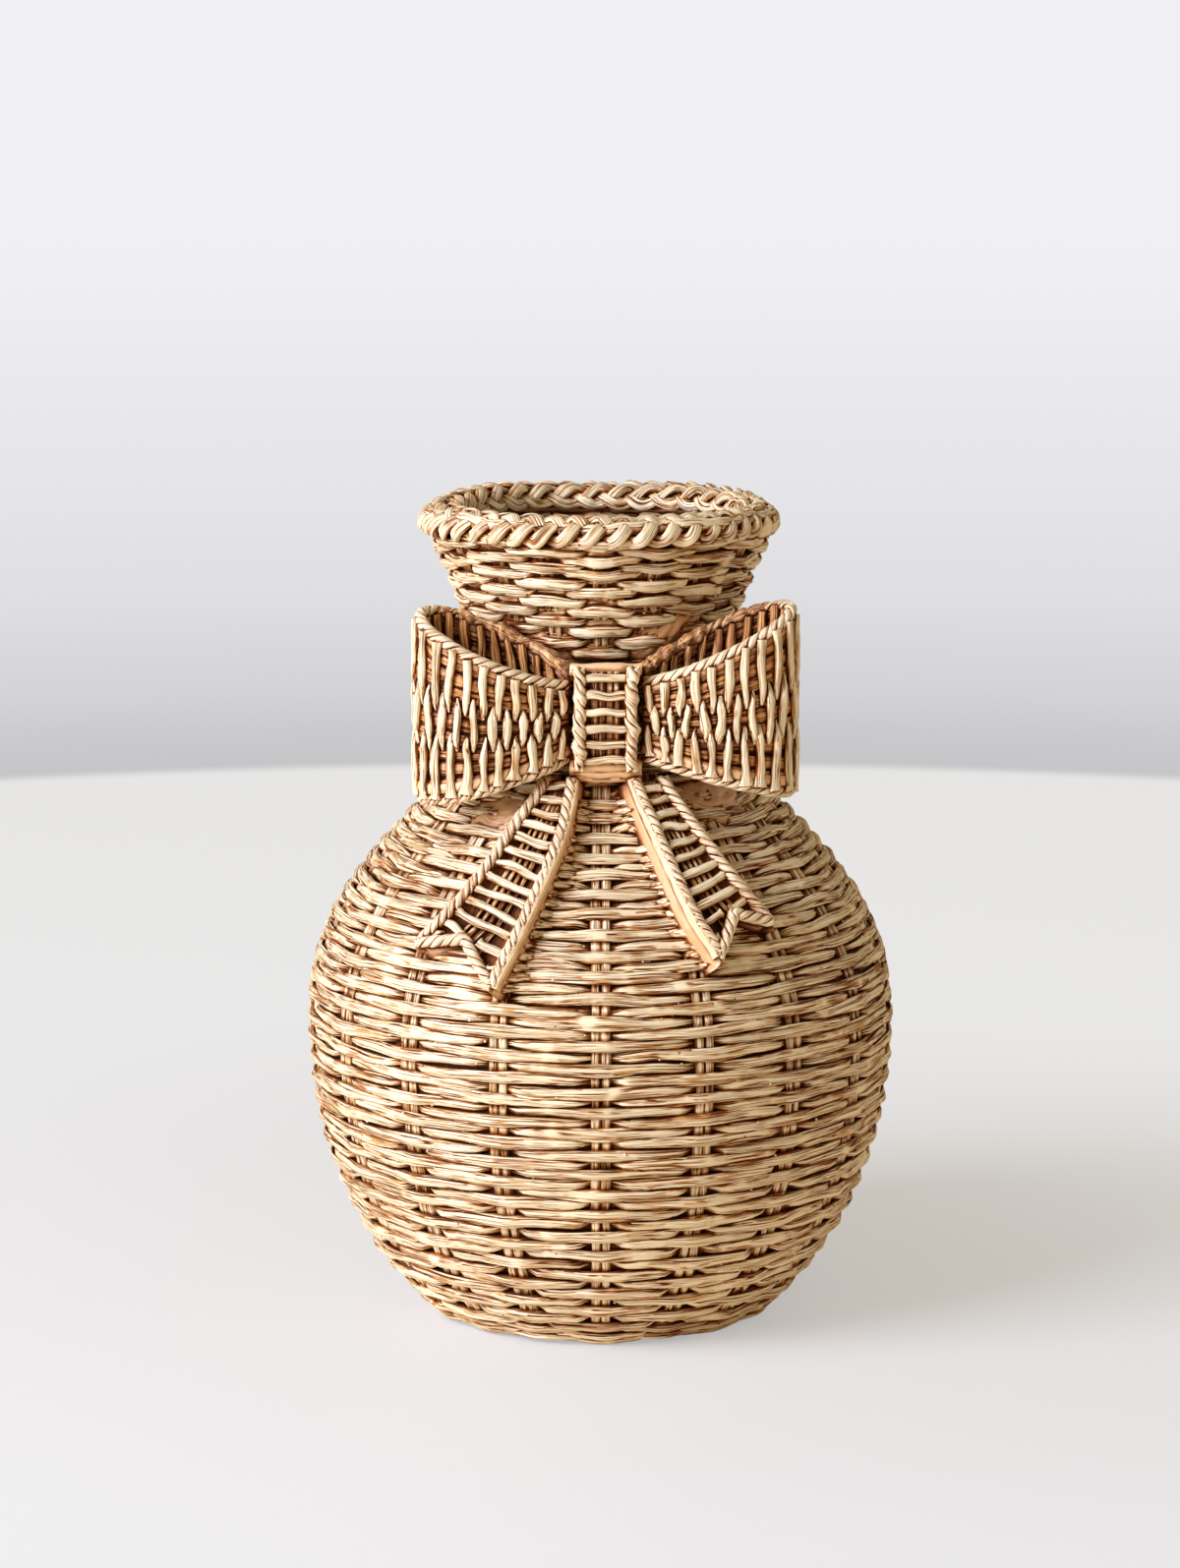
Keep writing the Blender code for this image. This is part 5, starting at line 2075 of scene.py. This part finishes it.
@dataclass(frozen=True)
class Pool:
    """A smooth pool of resin in the weave: where its middle lies, how far it spreads, how proud."""

    name: str
    node: str
    angle: float
    height: float
    half_angle: float
    half_height: float
    tilt: float
    proud: float
    sink: float = 0.0034
    thinnest: float = 0.0003
    edge_wave: float = 0.0004
    lumps: tuple[float, float] = (0.00022, 0.00016)
    stain: float = 0.13

    def skin(self) -> Mesh:
        """A lens of resin on the crest, closed underneath.

        Returns:
            The mesh.
        """
        rings = []
        across = np.linspace(-1, 1, 15)
        broad, fine = self.lumps
        for place in np.sin(np.linspace(-1, 1, 41) * math.pi / 2) * 0.999:
            half = math.sqrt(1 - place * place)
            angle = np.radians(self.angle + self.half_angle * place + 0 * across)
            level = self.height + self.tilt * place + self.half_height * half * across
            level = level + self.edge_wave * half * np.sin(7 * place + 2 * across)
            dome = np.maximum(0, 1 - place**2 - (half * across) ** 2)
            lumps = broad * np.sin(9 * place + 5 * across * half) + fine * np.sin(17 * place - 8 * across)
            top = -self.sink + (self.proud + self.sink) * dome**0.6 + 1.6 * lumps * dome
            under = np.minimum(top, -self.sink) - self.thinnest
            faces = [FORM.place(angle, level, top), FORM.place(angle, level, under)[::-1]]
            rings.append(np.concatenate(faces))
        mesh = grid_mesh(self.name, np.array(rings))
        store(mesh, "stain", np.full(len(mesh.vertices), self.stain))
        return mesh


POOLS = (
    Pool("pool_left_shoulder", "belly_weave", -34.0, 0.1508, 16.0, 0.0066, 0.0010, 0.0004),
    Pool("pool_right_shoulder", "belly_weave", 42.0, 0.1540, 20.0, 0.0064, -0.0012, 0.0004),
    Pool("pool_between_tails", "belly_weave", 1.2, 0.1632, 9.5, 0.0042, 0.0, 0.0032),
    Pool("pool_right_neck", "collar_weave", 29.0, 0.1982, 19.0, 0.0070, 0.0050, 0.0000),
    Pool("pool_left_neck", "collar_weave", -25.0, 0.1940, 15.0, 0.0052, -0.0040, 0.0000),
)


@dataclass(frozen=True)
class Beads:
    """Little drops of resin that stayed in the crevices of the weave."""

    density: float = 14000.0
    smallest: float = 0.00018
    largest: float = 0.00044
    shut_low: float = 0.26
    shut_high: float = 0.52
    seed: int = 5

    def tree(self) -> NodeTree:
        """The tree that scatters drops over the faces that are shut in.

        Returns:
            The tree.
        """
        sizes = {"Density": self.density, "Smallest": self.smallest, "Largest": self.largest}
        graph, given = geometry_tree("resin beads", sizes | {"Seed": self.seed, "Material": None})
        shut = graph.stored("cavity")
        high = graph.maths("LESS_THAN", shut, self.shut_high)
        wanted = graph.product(graph.maths("GREATER_THAN", shut, self.shut_low), high)
        density = graph.product(given.outputs["Density"], wanted)
        inputs = {"Mesh": given.outputs["Geometry"], "Density": density, "Seed": given.outputs["Seed"]}
        points = graph.out("GeometryNodeDistributePointsOnFaces", "Points", inputs)
        ball = graph.out("GeometryNodeMeshIcoSphere", "Mesh", {"Radius": 1.0, "Subdivisions": 2})
        limits = {"Min": given.outputs["Smallest"], "Max": given.outputs["Largest"]}
        size = graph.out("FunctionNodeRandomValue", "Value", limits, data_type="FLOAT")
        inputs = {"Points": points, "Instance": ball, "Scale": size}
        drops = graph.out("GeometryNodeInstanceOnPoints", "Instances", inputs)
        return close_tree(graph, drops, given.outputs["Material"])

    def apply(self, shop: Workshop, finish: Material) -> None:
        """Scatters drops on the rows of the belly and the collar.

        Args:
            shop: where the rows are kept.
            finish: the drops' material.
        """
        tree = self.tree()
        for number, piece in enumerate([item for item in shop.pieces if "_rows" in item.name]):
            source = new_object("source", piece.data.copy())
            mesh = run_tree(source, tree, {"Seed": self.seed + number, "Material": finish})
            points = point_array(mesh)
            store(mesh, "lay", points)
            for name, value in (("cavity", 0.12), ("tone", 0.5), ("stain", 0.0)):
                store(mesh, name, np.full(len(points), value))
            mesh.shade_smooth()
            node = "collar_weave" if "collar" in piece.name else "belly_weave"
            shop.keep(piece.name.replace("rows", "beads"), mesh, finish, [node])


# Base


@dataclass
class Base:
    """The base plate and its felt, as the CAD has them, in their finishes."""

    finishes: Palette

    def build(self) -> None:
        """Gives both plates their finish."""
        for name, finish in (("base_plate", self.finishes.bare), ("felt_pad", self.finishes.felt)):
            for slot in bpy.data.objects[name].material_slots:
                slot.material = finish
            LOG.info("%s: CAD node in its finish", name)


# Studio


@dataclass(frozen=True)
class Studio:
    """The floor, the light and the camera.

    The glow is the share of the table's colour that the camera sees as light, near the vase and
    far from it. The distance is a list of places, as shares of its reach, with their greys.
    """

    camera_place: tuple[float, float, float] = (-0.0030, -1.1850, 0.3520)
    camera_dip: float = 10.42
    lens: float = 96.35
    sensor: float = 36.0
    shift_y: float = 0.03856
    farthest: float = 60.0
    floor_rings: tuple[float, ...] = (0.0001, 0.5, 1.0, 2.0, 4.0, 8.0, 14.0)
    floor_sides: int = 96
    table_reach: tuple[float, float] = (0.943, 0.977)
    distance_reach: float = 8.0
    distance: tuple[tuple[float, int], ...] = (
        (0.117, 196), (0.135, 202), (0.154, 211), (0.21, 223), (0.30, 229), (0.44, 233),
        (0.69, 238), (1.0, 240),
    )
    lamp_aim: tuple[float, float, float] = (0, 0, 0.12)
    key_power: float = 34.5
    edge_power: float = 1.8
    fill: float = 0.35
    near_glow: float = 0.50
    far_glow: float = 0.86

    def floor_mesh(self) -> Mesh:
        """A flat disc of rings.

        Returns:
            The mesh, which faces up.
        """
        turn = np.linspace(0, FULL_TURN, self.floor_sides, endpoint=False)
        rings = np.array([around(turn, radius, 0.0) for radius in self.floor_rings])
        index = np.arange(rings.size // 3).reshape(rings.shape[:2])
        faces = ring_quads(index)[:, ::-1].tolist() + [index[0].tolist()]
        mesh = bpy.data.meshes.new("floor")
        mesh.from_pydata(rings.reshape(-1, 3).tolist(), [], faces)
        return mesh

    def distance_glow(self, graph: Graph, distance: Socket) -> Socket:
        """The light of the grey distance.

        Args:
            graph: the floor's graph.
            distance: how far from the vase.

        Returns:
            The emission.
        """
        ramp = graph.node("ShaderNodeValToRGB", {0: graph.maths("DIVIDE", distance, self.distance_reach)})
        elements = ramp.color_ramp.elements
        while len(elements) < len(self.distance):
            elements.new(0.5)
        for element, (place, grey) in zip(elements, self.distance):
            element.position = place
            element.color = paint(grey, grey, grey + 2)
        return graph.out("ShaderNodeEmission", "Emission", {"Color": ramp.outputs[0]})

    def floor(self) -> None:
        """A pale floor that fades into a grey distance for the camera."""
        made, graph, shader = start_material("pale floor", (0.8, 0.8, 0.8, 1.0))
        seen = graph.out("ShaderNodeLightPath", "Is Camera Ray")
        graph.join(shader.inputs["Roughness"], 0.45)
        graph.join(shader.inputs["Specular IOR Level"], 0.2)
        shade = graph.mixed(seen, paint(255, 237, 208), paint(236, 240, 246))
        graph.join(shader.inputs["Base Color"], shade)
        distance = graph.vector("LENGTH", graph.out("ShaderNodeTexCoord", "Object"))
        lit = graph.out("ShaderNodeEmission", "Emission", {"Color": paint(237, 237, 237)})
        share = graph.product(graph.smooth(distance, 0.10, 0.42), self.far_glow - self.near_glow)
        share = graph.product(graph.total(share, self.near_glow), seen)
        near = graph.node("ShaderNodeMixShader", {0: share, 1: shader.outputs[0], 2: lit})
        share = graph.product(graph.smooth(distance, *self.table_reach), seen)
        inputs = {0: share, 1: near.outputs[0], 2: self.distance_glow(graph, distance)}
        surface = graph.node("ShaderNodeMixShader", inputs).outputs[0]
        graph.join(made.node_tree.nodes["Material Output"].inputs["Surface"], surface)
        mesh = self.floor_mesh()
        mesh.materials.append(made)
        new_object("floor", mesh)

    def world(self) -> None:
        """Even fill light, with a pale distance for the camera."""
        world = bpy.data.worlds.new("studio")
        world.use_nodes = True
        bpy.context.scene.world = world
        graph = Graph(world.node_tree)
        world.node_tree.nodes.clear()
        light = graph.node("ShaderNodeBackground", {"Color": (1.0, 0.75, 0.43, 1), "Strength": self.fill})
        shown = graph.node("ShaderNodeBackground", {"Color": paint(240, 240, 242), "Strength": 1.0})
        seen = graph.out("ShaderNodeLightPath", "Is Camera Ray")
        mix = graph.node("ShaderNodeMixShader", {0: seen, 1: light.outputs[0], 2: shown.outputs[0]})
        graph.node("ShaderNodeOutputWorld", {0: mix.outputs[0]})

    def lamp(self, name: str, place: tuple, size: float, power: float, colour: tuple) -> None:
        """A square soft light that faces the vase.

        Args:
            name: the lamp's name.
            place: where it hangs.
            size: its width.
            power: its power.
            colour: its red, green and blue.
        """
        data = bpy.data.lights.new(name, "AREA")
        data.size, data.energy, data.color = size, power, colour
        lamp = new_object(name, data)
        lamp.location = place
        way = Vector(self.lamp_aim) - Vector(place)
        lamp.rotation_euler = way.to_track_quat("-Z", "Y").to_euler()

    def camera(self) -> None:
        """Sets the camera up where the photograph was taken from."""
        data = bpy.data.cameras.new("camera")
        data.lens, data.sensor_width, data.shift_y = self.lens, self.sensor, self.shift_y
        data.clip_end = self.farthest
        camera = new_object("camera", data)
        camera.location = self.camera_place
        camera.rotation_euler = (math.radians(90 - self.camera_dip), 0, 0)
        bpy.context.scene.camera = camera

    def build(self) -> None:
        """Sets the stage."""
        self.floor()
        self.world()
        self.lamp("key", (-1.18, -0.80, 0.84), 0.9, self.key_power, (0.98, 1.0, 1.13))
        self.lamp("edge", (1.25, 0.45, 0.50), 0.8, self.edge_power, (1.0, 0.92, 0.80))
        self.camera()
        bpy.context.scene.view_settings.view_transform = "Standard"


def main() -> None:
    """Builds the vase's pieces and the studio."""
    logging.basicConfig(level=logging.INFO, format="%(message)s")
    shop, finishes = Workshop(), Palette()
    Basket(shop, finishes).build()
    Rim(shop, finishes).build()
    for shape in LOOPS:
        loop = BowLoop(shop, finishes, shape)
        loop.build()
    Knot(shop, finishes, loop).build()
    for shape in TAILS:
        Tail(shop, finishes, shape).build()
    for pool in POOLS:
        shop.keep(pool.name, pool.skin(), finishes.smooth, [pool.node])
    Base(finishes).build()
    WashAndPaintedShade().apply(shop.pieces)
    Beads().apply(shop, finishes.bead)
    Studio().build()


if __name__ == "__main__":
    main()
